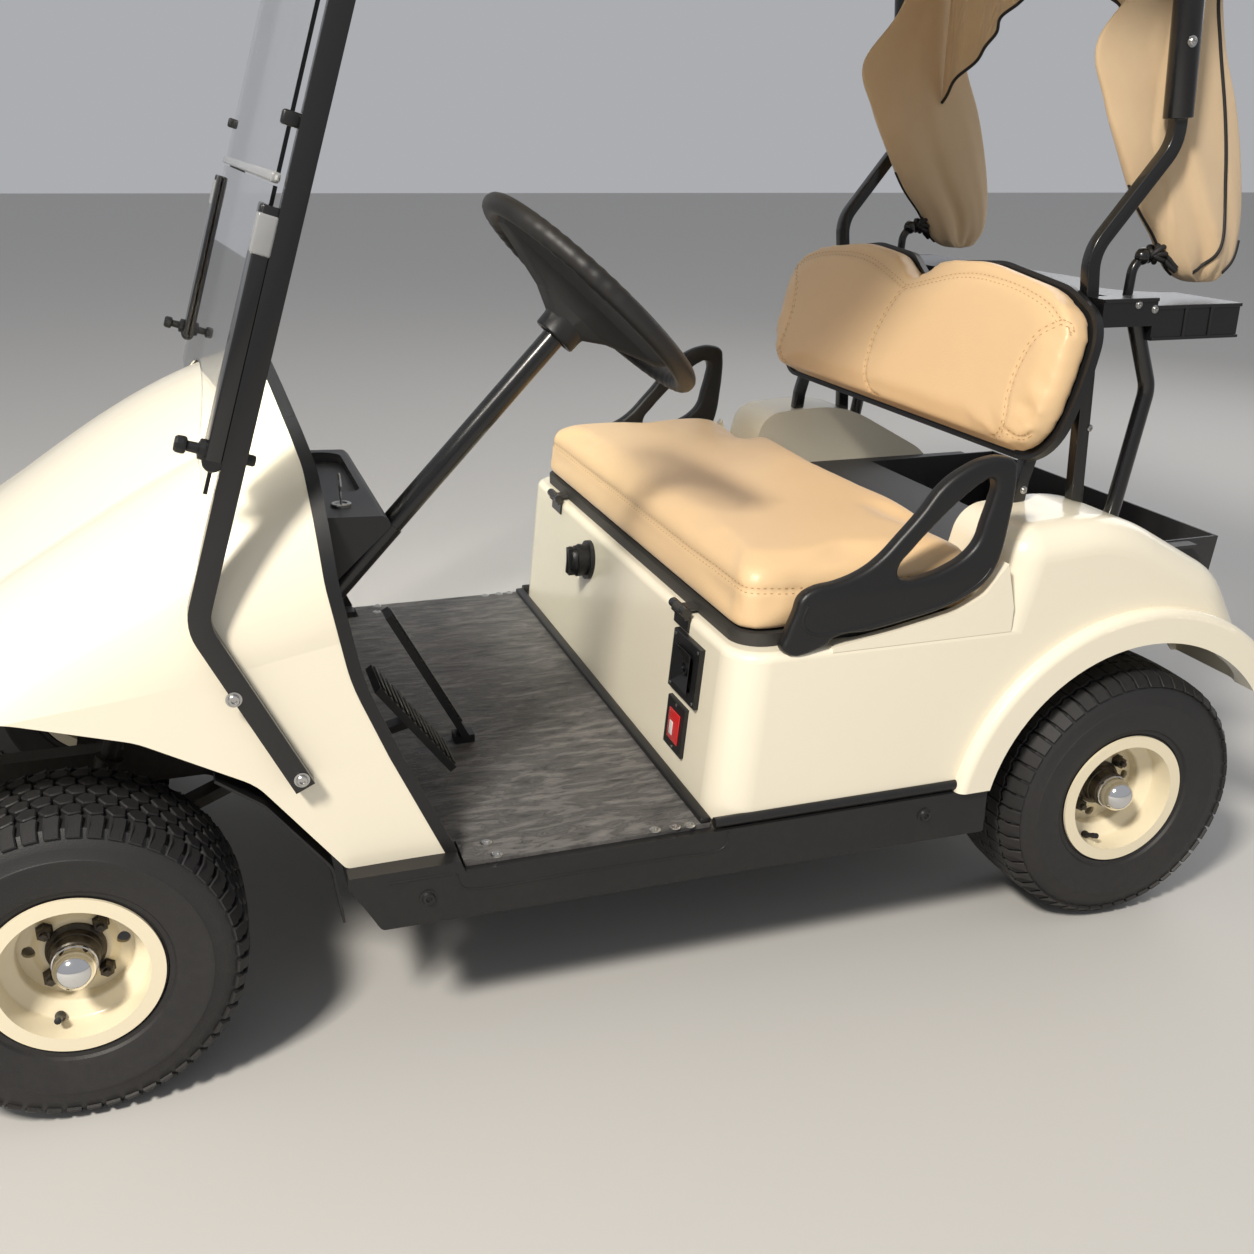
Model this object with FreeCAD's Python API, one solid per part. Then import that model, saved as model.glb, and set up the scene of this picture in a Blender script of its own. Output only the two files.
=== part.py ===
import FreeCAD, Part
import math
import os
from FreeCAD import Vector

# Two-seat electric golf cart, in millimetres.
# +X is forward, +Y is the driver's side and +Z is up. The origin is on the ground, at the middle
# of the cart's length.

os.makedirs("parts", exist_ok=True)

# Overall sizes and axle places
FRONT_END = 1182.5
REAR_END = -1182.5
FRONT_AXLE_X = 802.5
REAR_AXLE_X = -861.5
FRONT_WHEEL_Y = 481.0
REAR_WHEEL_Y = 487.0

# Wheels: an 18 x 8.5 tyre on an 8 inch rim
TYRE_RADIUS = 228.5
TYRE_WIDTH = 210.0
TYRE_WALL = 11.0
RIM_FLANGE_RADIUS = 116.0
RIM_SEAT_RADIUS = 101.0
RIM_WELL_RADIUS = 80.0
RIM_HALF_WIDTH = 96.0
RIM_WALL = 4.5
DISC_OFFSET = 26.0
DISC_HOLE_PLACE = 61.0
DISC_HOLE_RADIUS = 9.0
HUB_RADIUS = 28.0
HUB_REACH = 74.0
CAP_REACH = 92.0
AXLE_Z = TYRE_RADIUS
SPINDLE_RADIUS = 15.0
FIT = 0.05

# Front axle, knuckles and steering linkage
KINGPIN_Y = 350.0
KINGPIN_RADIUS = 10.0
AXLE_BEAM = 50.0
BOSS_RADIUS = 18.0
BOSS_LOW = 190.0
BOSS_HIGH = 267.0
EAR_THICKNESS = 20.0
EAR_GAP = 1.0
STEER_ARM = 110.0
ARM_LOW = 193.0
ARM_THICKNESS = 13.0
ARM_WIDTH = 24.0
TIE_PIN_RADIUS = 6.0
TIE_EYE_RADIUS = 13.0
TIE_EYE_HEIGHT = 16.0
TIE_ROD_RADIUS = 8.0
TIE_FREE_CLEARANCE = 0.5

# Steering column and wheel
WHEEL_CENTRE = Vector(0.0, 285.0, 1055.0)
COLUMN_DIRECTION = Vector(-0.69, 0.0, 0.7238)
STEERING_RIM_RADIUS = 190.0
STEERING_GRIP_RADIUS = 14.0
COLUMN_RADIUS = 17.5
SLEEVE_RADIUS = 19.5
COLUMN_SHAFT_RADIUS = 9.0

# Frame
RAIL_Y = 190.0
RAIL_WIDTH = 38.0
RAIL_HEIGHT = 60.0
RAIL_MID_Z = 255.0
RAIL_FRONT_Z = 350.0
RAIL_REAR_Z = 403.0
FLOOR_BOTTOM = RAIL_MID_Z + RAIL_HEIGHT / 2

# Body
BODY_WALL = 5.0
FLOOR_THICKNESS = 10.0
FLOOR_TOP = FLOOR_BOTTOM + FLOOR_THICKNESS
MAT_THICKNESS = 6.0
MAT_TOP = FLOOR_TOP + MAT_THICKNESS
ROCKER_INNER_Y = 505.0
ROCKER_OUTER_Y = 585.0
ROCKER_BOTTOM = 215.0
BODY_HALF_WIDTH = 574.0
KICK_BOTTOM_X = -108.0
KICK_TOP_X = -135.0
SEAT_RIM_Z = 568.0
FENDER_CROWN_Z = 720.0
FENDER_INNER_Y = 388.0
ARCH_RADIUS = 288.0
FLARE_WIDTH = 56.0
FLARE_OUTER_Y = 595.0
TAIL_X = -1104.0
TAIL_Z = 404.0
PANEL_GAP = 0.3

# Seat
CUSHION_HALF_WIDTH = 546.0
CUSHION_FRONT_X = -150.0
CUSHION_REAR_X = -597.0
CUSHION_END_X = -556.0
PAN_THICKNESS = 20.0
CUSHION_THICKNESS = 99.0
HINGE_X = -127.0
HINGE_Z = 576.0
HINGE_Y = 362.0
HINGE_PIN_RADIUS = 4.0
HINGE_BARREL_RADIUS = 8.0
BACK_LEAN = 15.4
BACK_BOTTOM = Vector(-646.0, 0.0, 812.0)
BACK_THICKNESS = 48.0
BACK_HALF_WIDTH = 500.0
SHELL_THICKNESS = 9.0
SHELL_WRAP = 5.0
SHELL_MARGIN = 7.0

# Struts, windshield and roof
STRUT_Y = 565.0
STRUT_DEPTH = 28.0
STRUT_WIDTH = 25.0
ROOF_TOP = 1755.0
ROOF_WALL = 6.0
ROOF_DEPTH = 60.0
ROOF_FRONT_X = 430.0
ROOF_REAR_X = -985.0
ROOF_HALF_WIDTH = 592.0
ROOF_UNDERSIDE = ROOF_TOP - ROOF_WALL
ABOVE_ROOF = ROOF_TOP + 300.0
PANE_THICKNESS = 5.0
RAIL_STRIP = 20.0
PANE_OFFSET = 6.0
PANE_HALF_WIDTH = 548.0
PANE_SPLIT_Z = 1218.0
PANE_BOTTOM_Z = 860.0
REAR_STRUT_Y = 415.0
REAR_STRUT_DEPTH = 23.0
REAR_STRUT_WIDTH = 20.0
SLEEVE_STRUT_RADIUS = 22.5


# Shared ways of making shapes
def rounded_wire(points, radii):
    """A closed wire of straight runs, with a tangent arc at each corner that has a radius."""
    corners = []
    count = len(points)
    for i, point in enumerate(points):
        if radii[i] <= 0:
            corners.append((point, None, point))
            continue
        before = (points[i - 1] - point).normalize()
        after = (points[(i + 1) % count] - point).normalize()
        half = before.getAngle(after) / 2
        reach = radii[i] / math.tan(half)
        centre = point + (before + after).normalize() * (radii[i] / math.sin(half))
        middle = centre + (point - centre).normalize() * radii[i]
        corners.append((point + before * reach, middle, point + after * reach))
    edges = []
    for i, (entry, middle, leave) in enumerate(corners):
        if middle is not None:
            edges.append(Part.Arc(entry, middle, leave).toShape())
        following = corners[(i + 1) % count][0]
        if leave.distanceToPoint(following) > 0.001:
            edges.append(Part.LineSegment(leave, following).toShape())
    return Part.Wire(edges)


def plate(rows, plane, low, high):
    """Extrude an outline, given as rows of two places and a corner radius, square to its plane."""
    place = {
        "xz": lambda a, b: Vector(a, low, b),
        "xy": lambda a, b: Vector(a, b, low),
        "yz": lambda a, b: Vector(low, a, b),
    }[plane]
    normal = {"xz": Vector(0, 1, 0), "xy": Vector(0, 0, 1), "yz": Vector(1, 0, 0)}[plane]
    wire = rounded_wire([place(a, b) for a, b, r in rows], [r for a, b, r in rows])
    return Part.Face(wire).extrude(normal * (high - low))


def strip_rows(points, width, bend):
    """The outline of a bent strip about its centre line, as rows of two places and a radius."""
    left = []
    right = []
    last = len(points) - 1
    for i, (a, b) in enumerate(points):
        ahead = points[min(i + 1, last)]
        behind = points[max(i - 1, 0)]
        run_in = Vector(a - behind[0], b - behind[1], 0)
        run_out = Vector(ahead[0] - a, ahead[1] - b, 0)
        if i == 0:
            run_in = Vector(run_out)
        if i == last:
            run_out = Vector(run_in)
        run_in.normalize()
        run_out.normalize()
        miter = (run_in + run_out).normalize()
        side = Vector(-miter.y, miter.x, 0)
        reach = width / 2 / max(0.3, side.dot(Vector(-run_in.y, run_in.x, 0)))
        turn = run_in.cross(run_out).z
        ends = i in (0, last) or abs(turn) < 0.01
        left_radius = 0 if ends else max(bend - math.copysign(width / 2, turn), 1)
        right_radius = 0 if ends else max(bend + math.copysign(width / 2, turn), 1)
        left.append((a + side.x * reach, b + side.y * reach, left_radius))
        right.append((a - side.x * reach, b - side.y * reach, right_radius))
    return left + right[::-1]


def strip(points, width, bend, plane, low, high):
    return plate(strip_rows(points, width, bend), plane, low, high)


def path_wire(points, bend):
    """An open wire of straight runs with a tangent arc at each inner corner."""
    edges = []
    here = points[0]
    for i in range(1, len(points) - 1):
        before = (points[i - 1] - points[i]).normalize()
        after = (points[i + 1] - points[i]).normalize()
        half = before.getAngle(after) / 2
        reach = bend / math.tan(half)
        centre = points[i] + (before + after).normalize() * (bend / math.sin(half))
        middle = centre + (points[i] - centre).normalize() * bend
        entry = points[i] + before * reach
        edges.append(Part.LineSegment(here, entry).toShape())
        here = points[i] + after * reach
        edges.append(Part.Arc(entry, middle, here).toShape())
    edges.append(Part.LineSegment(here, points[-1]).toShape())
    return Part.Wire(edges)


def tube(points, radius, bend):
    """A round bar along straight runs and arcs."""
    path = path_wire(points, bend)
    ring = Part.Wire(Part.Circle(points[0], points[1] - points[0], radius).toShape())
    return path.makePipeShell([ring], True, False)


def block(x0, x1, y0, y1, z0, z1):
    return Part.makeBox(x1 - x0, y1 - y0, z1 - z0, Vector(x0, y0, z0))


def rod(start, end, radius):
    run = end - start
    return Part.makeCylinder(radius, run.Length, start, run)


def mirrored(shape):
    """The same piece on the other side of the cart."""
    return shape.mirror(Vector(0, 0, 0), Vector(0, 1, 0))


def fuse(shapes):
    first = shapes[0]
    return first.fuse(shapes[1:]).removeSplitter() if len(shapes) > 1 else first


def both_sides(shape):
    return Part.makeCompound([shape, mirrored(shape)])


def save(name, shape):
    shape.exportStep("parts/" + name + ".step")


# Front body: a hood that narrows upwards and rounds down to a low nose
# Columns: x, half width, side height, top half width, top edge height, crown height
HOOD_STATIONS = [
    (236.0, 556.0, 650.0, 345.0, 905.0, 946.0),
    (480.0, 556.0, 640.0, 340.0, 898.0, 942.0),
    (650.0, 560.0, 612.0, 325.0, 822.0, 884.0),
    (850.0, 562.0, 590.0, 310.0, 700.0, 760.0),
    (1000.0, 548.0, 545.0, 295.0, 598.0, 648.0),
    (1085.0, 492.0, 490.0, 268.0, 530.0, 562.0),
    (1128.0, 410.0, 452.0, 210.0, 484.0, 500.0),
]
HOOD_BASE_Z = 190.0
# Columns: x, z, corner radius
COWL_REAR_EDGE = [(510.0, 1100.0, 0), (449.0, 865.0, 90), (440.0, 730.0, 300), (415.0, 590.0, 300),
                  (370.0, 475.0, 200), (227.0, 150.0, 0)]
COWL_LOWER_EDGE = [(200.0, 313.0, 0), (438.0, 313.0, 12), (548.0, 462.0, 90), (690.0, 545.0, 120),
                   (905.0, 612.0, 180), (1040.0, 520.0, 90), (1078.0, 432.0, 30), (1200.0, 432.0, 0)]
TRIM_WIDTH = 18.0


def hood_loft(grow, start_shift=0.0):
    """The hood's smooth outer form, grown or shrunk by a wall."""
    wires = []
    last = len(HOOD_STATIONS) - 1
    for i, (x, half, side_z, top_half, edge_z, crown_z) in enumerate(HOOD_STATIONS):
        x += grow if i == last else (-start_shift if i == 0 else 0)
        half += grow
        edge_z += grow * 0.8
        top_half += grow * 0.4
        crown_z += grow
        low = HOOD_BASE_Z - start_shift
        waist_y = top_half + (half - top_half) * 0.76
        waist_z = side_z + (edge_z - side_z) * 0.68
        corner = [Vector(x, half, low), Vector(x, half, side_z), Vector(x, waist_y, waist_z),
                  Vector(x, top_half, edge_z)]
        other = [Vector(x, -p.y, p.z) for p in corner]
        wires.append(Part.Wire([
            Part.LineSegment(other[0], corner[0]).toShape(),
            Part.LineSegment(corner[0], corner[1]).toShape(),
            Part.Arc(corner[1], corner[2], corner[3]).toShape(),
            Part.Arc(corner[3], Vector(x, 0, crown_z), other[3]).toShape(),
            Part.Arc(other[3], other[2], other[1]).toShape(),
            Part.LineSegment(other[1], other[0]).toShape(),
        ]))
    return Part.makeLoft(wires, True, False)


def region_behind(edge, shift):
    """Everything behind the cowl's rear edge, as a block across the cart."""
    rows = [(x + shift, z, r) for x, z, r in edge]
    rows += [(100.0, 150.0, 0), (100.0, 1100.0, 0)]
    return plate(rows, "xz", -700.0, 700.0)


def front_cowl():
    below = COWL_LOWER_EDGE + [(1200.0, 100.0, 0), (200.0, 100.0, 0)]
    form = hood_loft(0.0).cut(region_behind(COWL_REAR_EDGE, 0.0))
    form = form.cut(plate(below, "xz", -700.0, 700.0))
    return form.cut(hood_loft(-BODY_WALL, 10.0))


def cowl_trim():
    """The dark edging that caps the cowl's rear edge, from one rocker over the top to the other."""
    band = region_behind(COWL_REAR_EDGE, 0.0).cut(region_behind(COWL_REAR_EDGE, -TRIM_WIDTH))
    ring = hood_loft(1.5, 5.0).common(band).cut(hood_loft(-BODY_WALL - 3.0, 10.0))
    return ring.cut(block(0, 600, -700, 700, 100, 313.0))


# The dash panel, from under the hood down to the toe board
DASH_LINE = [(488.0, 925.0), (460.0, 872.0), (450.0, 800.0), (450.0, 622.0)]
DASH_SHEET = 5.0
# The driver's shelf that stands out of it. Columns: x, z, corner radius
SHELF_SIDE = [(451.0, 806.0, 0), (352.0, 802.0, 10), (340.0, 790.0, 8), (431.0, 706.0, 12), (451.0, 700.0, 0)]
SHELF_INNER_Y = 84.0
SHELF_OUTER_Y = 500.0


def dash():
    sheet = strip(DASH_LINE, DASH_SHEET, 12.0, "xz", -600.0, 600.0)
    shelf = plate(SHELF_SIDE, "xz", SHELF_INNER_Y, SHELF_OUTER_Y)
    corner = [edge for edge in shelf.Edges if abs(edge.BoundBox.YMin - SHELF_INNER_Y) < 0.01
              and edge.BoundBox.YLength < 0.01 and edge.BoundBox.XMax < 450.0]
    shelf = shelf.makeFillet(6.0, corner)
    tray = plate([(362.0, SHELF_INNER_Y + 24, 30), (440.0, SHELF_INNER_Y + 24, 12),
                  (440.0, SHELF_OUTER_Y - 130, 12), (362.0, SHELF_OUTER_Y - 130, 30)], "xy", 788.0, 900.0)
    inside = hood_loft(-BODY_WALL - PANEL_GAP, 10.0)
    return sheet.fuse(shelf).common(inside).cut(tray).cut(column_hole())


def front_bumper():
    """A moulded bumper that wraps round below the nose."""
    line = [(1108.0, -406.0), (1148.0, -330.0), (FRONT_END - 14.0, -180.0), (FRONT_END - 14.0, 180.0),
            (1148.0, 330.0), (1108.0, 406.0)]
    bar = strip(line, 28.0, 60.0, "xy", 338.0, 428.0)
    bar = bar.cut(strip(line, 8.0, 60.0, "xy", 352.0, 414.0))
    bracket = block(1080.0, FRONT_END - 26, RAIL_INNER, RAIL_OUTER, 345.0, 375.0)
    return fuse([bar, both_sides(bracket.cut(chassis_frame()).cut(front_cowl()))])


# Frame
def rail():
    line = [(REAR_END + 40.0, RAIL_REAR_Z), (-690.0, RAIL_REAR_Z), (-560.0, RAIL_MID_Z),
            (470.0, RAIL_MID_Z), (600.0, RAIL_FRONT_Z), (1106.0, RAIL_FRONT_Z)]
    return strip(line, RAIL_HEIGHT, 60.0, "xz", RAIL_Y - RAIL_WIDTH / 2, RAIL_Y + RAIL_WIDTH / 2)


RAIL_INNER = RAIL_Y - RAIL_WIDTH / 2
RAIL_OUTER = RAIL_Y + RAIL_WIDTH / 2
FRONT_SPRING_Y = 231.0
REAR_SPRING_Y = 280.0
SPRING_WIDTH = 40.0
SPRING_THICKNESS = 16.0
FRONT_SPRING_REACH = 240.0
REAR_SPRING_REACH = 240.0
EYE_RADIUS = 13.0
SPRING_PIN_RADIUS = 7.0
FRONT_EYE_Z = 318.0
REAR_EYE_Z = 330.0
FRONT_SPRING_Z = AXLE_Z + AXLE_BEAM / 2 + SPRING_THICKNESS / 2
REAR_TUBE_RADIUS = 32.0
REAR_SPRING_Z = AXLE_Z + REAR_TUBE_RADIUS + 6.0 + SPRING_THICKNESS / 2
SHOCK_FRONT_TOP = Vector(712.0, 286.0, 500.0)
SHOCK_FRONT_FOOT = Vector(790.0, 286.0, 276.0)
SHOCK_REAR_TOP = Vector(-946.0, 332.0, 414.0)
SHOCK_REAR_FOOT = Vector(-880.0, 332.0, 272.0)
REAR_PLATE_Z = 330.0
HITCH_BOLT_RADIUS = 5.5
HITCH_BOLT_SPACING = 100.0


def chassis_frame():
    """Two rails that rise over both axles, with cross members, outriggers and spring hangers."""
    half = RAIL_HEIGHT / 2
    side = [rail()]
    for x in (350.0, -90.0, -520.0):
        side.append(block(x - 20, x + 20, RAIL_INNER, ROCKER_INNER_Y, RAIL_MID_Z - 20, RAIL_MID_Z + half))
    for x in (FRONT_AXLE_X - FRONT_SPRING_REACH, FRONT_AXLE_X + FRONT_SPRING_REACH):
        side.append(rod(Vector(x, RAIL_INNER, FRONT_EYE_Z),
                        Vector(x, FRONT_SPRING_Y + SPRING_WIDTH / 2 + 2, FRONT_EYE_Z), SPRING_PIN_RADIUS))
        side.append(block(x - 16, x + 16, RAIL_INNER, RAIL_OUTER - 8, FRONT_EYE_Z - 14, RAIL_FRONT_Z))
    for x in (REAR_AXLE_X - REAR_SPRING_REACH, REAR_AXLE_X + REAR_SPRING_REACH):
        side.append(rod(Vector(x, RAIL_INNER, REAR_EYE_Z),
                        Vector(x, REAR_SPRING_Y + SPRING_WIDTH / 2 + 2, REAR_EYE_Z), SPRING_PIN_RADIUS))
        side.append(block(x - 16, x + 16, RAIL_INNER, RAIL_OUTER, REAR_EYE_Z - 14, RAIL_REAR_Z))
    side.append(block(SHOCK_FRONT_TOP.x - 16, SHOCK_FRONT_TOP.x + 16, RAIL_INNER, RAIL_OUTER,
                      RAIL_FRONT_Z, SHOCK_FRONT_TOP.z + 20))
    side.append(rod(Vector(SHOCK_FRONT_TOP.x, RAIL_INNER, SHOCK_FRONT_TOP.z),
                    SHOCK_FRONT_TOP + Vector(0, 20, 0), SPRING_PIN_RADIUS))
    side.append(rod(Vector(SHOCK_REAR_TOP.x, RAIL_INNER, SHOCK_REAR_TOP.z),
                    SHOCK_REAR_TOP + Vector(0, 18, 0), SPRING_PIN_RADIUS))
    pieces = []
    for shape in side:
        pieces += [shape, mirrored(shape)]
    # Columns: x, height of the cross member's middle
    for x, z in ((1086.0, RAIL_FRONT_Z), (470.0, RAIL_MID_Z), (-90.0, RAIL_MID_Z), (-545.0, RAIL_MID_Z)):
        pieces.append(block(x - 20, x + 20, -RAIL_INNER, RAIL_INNER, z - 20, z + 20))
    tail = REAR_END + 40.0
    pieces.append(block(tail, tail + 8, -RAIL_OUTER, RAIL_OUTER, REAR_PLATE_Z, RAIL_REAR_Z + half))
    frame = fuse(pieces)
    for y in (-HITCH_BOLT_SPACING / 2, HITCH_BOLT_SPACING / 2):
        for z in (352.0, 352.0 + 50.0):
            frame = frame.cut(rod(Vector(tail - 5, y, z), Vector(tail + 30, y, z), HITCH_BOLT_RADIUS))
    return frame


def leaf_spring(axle_x, reach, y, mid_z, eye_z):
    """One leaf pack over an axle, with an eye at each end."""
    line = [(axle_x - reach, eye_z), (axle_x - reach * 0.5, mid_z + 6), (axle_x - 50, mid_z),
            (axle_x + 50, mid_z), (axle_x + reach * 0.5, mid_z + 6), (axle_x + reach, eye_z)]
    low = y - SPRING_WIDTH / 2
    high = y + SPRING_WIDTH / 2
    spring = strip(line, SPRING_THICKNESS, 200.0, "xz", low, high)
    for x in (axle_x - reach, axle_x + reach):
        spring = spring.fuse(rod(Vector(x, low, eye_z), Vector(x, high, eye_z), EYE_RADIUS))
    for x in (axle_x - reach, axle_x + reach):
        spring = spring.cut(rod(Vector(x, low - 1, eye_z), Vector(x, high + 1, eye_z),
                                SPRING_PIN_RADIUS + FIT))
    return spring


def leaf_springs():
    front = leaf_spring(FRONT_AXLE_X, FRONT_SPRING_REACH, FRONT_SPRING_Y, FRONT_SPRING_Z, FRONT_EYE_Z)
    rear = leaf_spring(REAR_AXLE_X, REAR_SPRING_REACH, REAR_SPRING_Y, REAR_SPRING_Z, REAR_EYE_Z)
    return Part.makeCompound([front, mirrored(front), rear, mirrored(rear)])


def shock(foot, top):
    """A damper: its body below, its rod above and an eye at each end."""
    run = top - foot
    middle = foot + run * 0.58
    body = fuse([rod(foot + run * 0.06, middle, 20.0), rod(middle, top - run * 0.05, 8.0),
                 rod(foot + run * 0.5, foot + run * 0.92, 13.0)])
    for end in (foot, top):
        body = body.fuse(rod(end - Vector(0, 14, 0), end + Vector(0, 14, 0), 15.0))
    for end in (foot, top):
        body = body.cut(rod(end - Vector(0, 30, 0), end + Vector(0, 30, 0), SPRING_PIN_RADIUS + FIT))
    return body


def shock_absorbers():
    front = shock(SHOCK_FRONT_FOOT, SHOCK_FRONT_TOP)
    rear = shock(SHOCK_REAR_FOOT, SHOCK_REAR_TOP)
    return Part.makeCompound([front, mirrored(front), rear, mirrored(rear)])


def front_axle():
    """A straight beam that ends in forks, with a kingpin through each fork."""
    half = AXLE_BEAM / 2
    fork_inner = KINGPIN_Y - BOSS_RADIUS - 10
    parts = [block(FRONT_AXLE_X - half, FRONT_AXLE_X + half, -fork_inner, fork_inner,
                   AXLE_Z - half, AXLE_Z + half)]
    low_ear = BOSS_LOW - EAR_GAP - EAR_THICKNESS
    high_ear = BOSS_HIGH + EAR_GAP
    side = [block(FRONT_AXLE_X - 20, FRONT_AXLE_X + 20, fork_inner - 16, fork_inner,
                  low_ear, high_ear + EAR_THICKNESS)]
    for z in (low_ear, high_ear):
        side.append(block(FRONT_AXLE_X - 20, FRONT_AXLE_X + 20, fork_inner - 16, KINGPIN_Y,
                          z, z + EAR_THICKNESS))
        side.append(Part.makeCylinder(20.0, EAR_THICKNESS, Vector(FRONT_AXLE_X, KINGPIN_Y, z)))
    side.append(Part.makeCylinder(KINGPIN_RADIUS, high_ear + EAR_THICKNESS - low_ear,
                                  Vector(FRONT_AXLE_X, KINGPIN_Y, low_ear)))
    foot = SHOCK_FRONT_FOOT
    side.append(rod(foot - Vector(0, 28, 0), foot + Vector(0, 16, 0), SPRING_PIN_RADIUS))
    side.append(block(foot.x - 12, foot.x + 12, foot.y - 32, foot.y - 23, AXLE_Z + half - 10, foot.z + 10))
    for shape in side:
        parts += [shape, mirrored(shape)]
    return fuse(parts)


def knuckle():
    """Left steering knuckle: boss, spindle and the steering arm with its pin."""
    x = FRONT_AXLE_X
    boss = Part.makeCylinder(BOSS_RADIUS, BOSS_HIGH - BOSS_LOW, Vector(x, KINGPIN_Y, BOSS_LOW))
    spindle = rod(Vector(x, KINGPIN_Y + 8, AXLE_Z), Vector(x, FRONT_WHEEL_Y + HUB_REACH - 8, AXLE_Z),
                  SPINDLE_RADIUS)
    collar = rod(Vector(x, KINGPIN_Y + 8, AXLE_Z), Vector(x, KINGPIN_Y + 28, AXLE_Z), 24.0)
    arm = block(x - STEER_ARM, x, KINGPIN_Y - ARM_WIDTH / 2, KINGPIN_Y + ARM_WIDTH / 2,
                ARM_LOW, ARM_LOW + ARM_THICKNESS)
    end = Part.makeCylinder(ARM_WIDTH / 2, ARM_THICKNESS, Vector(x - STEER_ARM, KINGPIN_Y, ARM_LOW))
    pin = Part.makeCylinder(TIE_PIN_RADIUS, ARM_LOW - TIE_EYE_LOW + 2,
                            Vector(x - STEER_ARM, KINGPIN_Y, TIE_EYE_LOW - 2))
    body = fuse([boss, spindle, collar, arm, end, pin])
    return body.cut(Part.makeCylinder(KINGPIN_RADIUS + FIT, 200, Vector(x, KINGPIN_Y, BOSS_LOW - 50)))


TIE_EYE_LOW = ARM_LOW - 1.0 - TIE_EYE_HEIGHT


def tie_rod():
    """The rod behind the axle that joins both steering arms."""
    x = FRONT_AXLE_X - STEER_ARM
    z = TIE_EYE_LOW + TIE_EYE_HEIGHT / 2
    parts = [rod(Vector(x, -KINGPIN_Y, z), Vector(x, KINGPIN_Y, z), TIE_ROD_RADIUS)]
    for y in (-KINGPIN_Y, KINGPIN_Y):
        parts.append(Part.makeCylinder(TIE_EYE_RADIUS, TIE_EYE_HEIGHT, Vector(x, y, TIE_EYE_LOW)))
    body = fuse(parts)
    for y, clearance in ((KINGPIN_Y, FIT), (-KINGPIN_Y, TIE_FREE_CLEARANCE)):
        body = body.cut(Part.makeCylinder(TIE_PIN_RADIUS + clearance, 100, Vector(x, y, TIE_EYE_LOW - 40)))
    return body


def rear_axle():
    """Axle tubes, gear case and the drive motor beside it."""
    x = REAR_AXLE_X
    inner = REAR_WHEEL_Y - RIM_HALF_WIDTH - 30
    parts = [rod(Vector(x, -inner, AXLE_Z), Vector(x, inner, AXLE_Z), REAR_TUBE_RADIUS)]
    parts.append(rod(Vector(x, 20, AXLE_Z + 3), Vector(x, 110, AXLE_Z + 3), 106.0))
    parts.append(rod(Vector(x + 120, 20, 260), Vector(x + 120, 110, 260), 66.0))
    parts.append(rod(Vector(x + 130, -205, 258), Vector(x + 130, 20, 258), 84.0))
    for s in (-1, 1):
        parts.append(rod(Vector(x, s * inner, AXLE_Z),
                         Vector(x, s * (REAR_WHEEL_Y + HUB_REACH - 8), AXLE_Z), SPINDLE_RADIUS))
        parts.append(block(x - 45, x + 45, s * REAR_SPRING_Y - 22, s * REAR_SPRING_Y + 22,
                           AXLE_Z, REAR_SPRING_Z - SPRING_THICKNESS / 2))
        foot = Vector(SHOCK_REAR_FOOT.x, s * SHOCK_REAR_FOOT.y, SHOCK_REAR_FOOT.z)
        parts.append(rod(foot - Vector(0, s * 26, 0), foot + Vector(0, s * 16, 0), SPRING_PIN_RADIUS))
        parts.append(block(foot.x - 10, foot.x + 10, foot.y - s * 26 - 3, foot.y - s * 26 + 3,
                           AXLE_Z + 10, foot.z + 10))
    return fuse(parts)


# Wheels
def revolved(rows, x, y, outward):
    """Turn a profile about a wheel's axle. Columns: distance outboard, radius, corner radius."""
    points = [Vector(x, y + outward * out, AXLE_Z + r) for out, r, c in rows]
    wire = rounded_wire(points, [c for out, r, c in rows])
    return Part.Face(wire).revolve(Vector(x, y, AXLE_Z), Vector(0, 1, 0), 360)


def tyre(x, y, outward):
    half = TYRE_WIDTH / 2
    bead = RIM_HALF_WIDTH - 8.0
    seat = RIM_SEAT_RADIUS + 0.3
    outer = [(-bead, seat, 0), (-bead, RIM_FLANGE_RADIUS + 3, 0), (-half, 168.0, 50.0),
             (-half + 8, 214.0, 16.0), (-half + 28, TYRE_RADIUS - 2, 30.0), (0, TYRE_RADIUS, 0),
             (half - 28, TYRE_RADIUS - 2, 30.0), (half - 8, 214.0, 16.0), (half, 168.0, 50.0),
             (bead, RIM_FLANGE_RADIUS + 3, 0), (bead, seat, 0)]
    w = TYRE_WALL
    inner = [(bead - w, seat, 0), (bead - w, RIM_FLANGE_RADIUS + 8, 0), (half - w, 168.0, 40.0),
             (half - w - 12, TYRE_RADIUS - w - 8, 20.0), (-half + w + 12, TYRE_RADIUS - w - 8, 20.0),
             (-half + w, 168.0, 40.0), (-bead + w, RIM_FLANGE_RADIUS + 8, 0), (-bead + w, seat, 0)]
    return revolved(outer + inner, x, y, outward)


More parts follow.
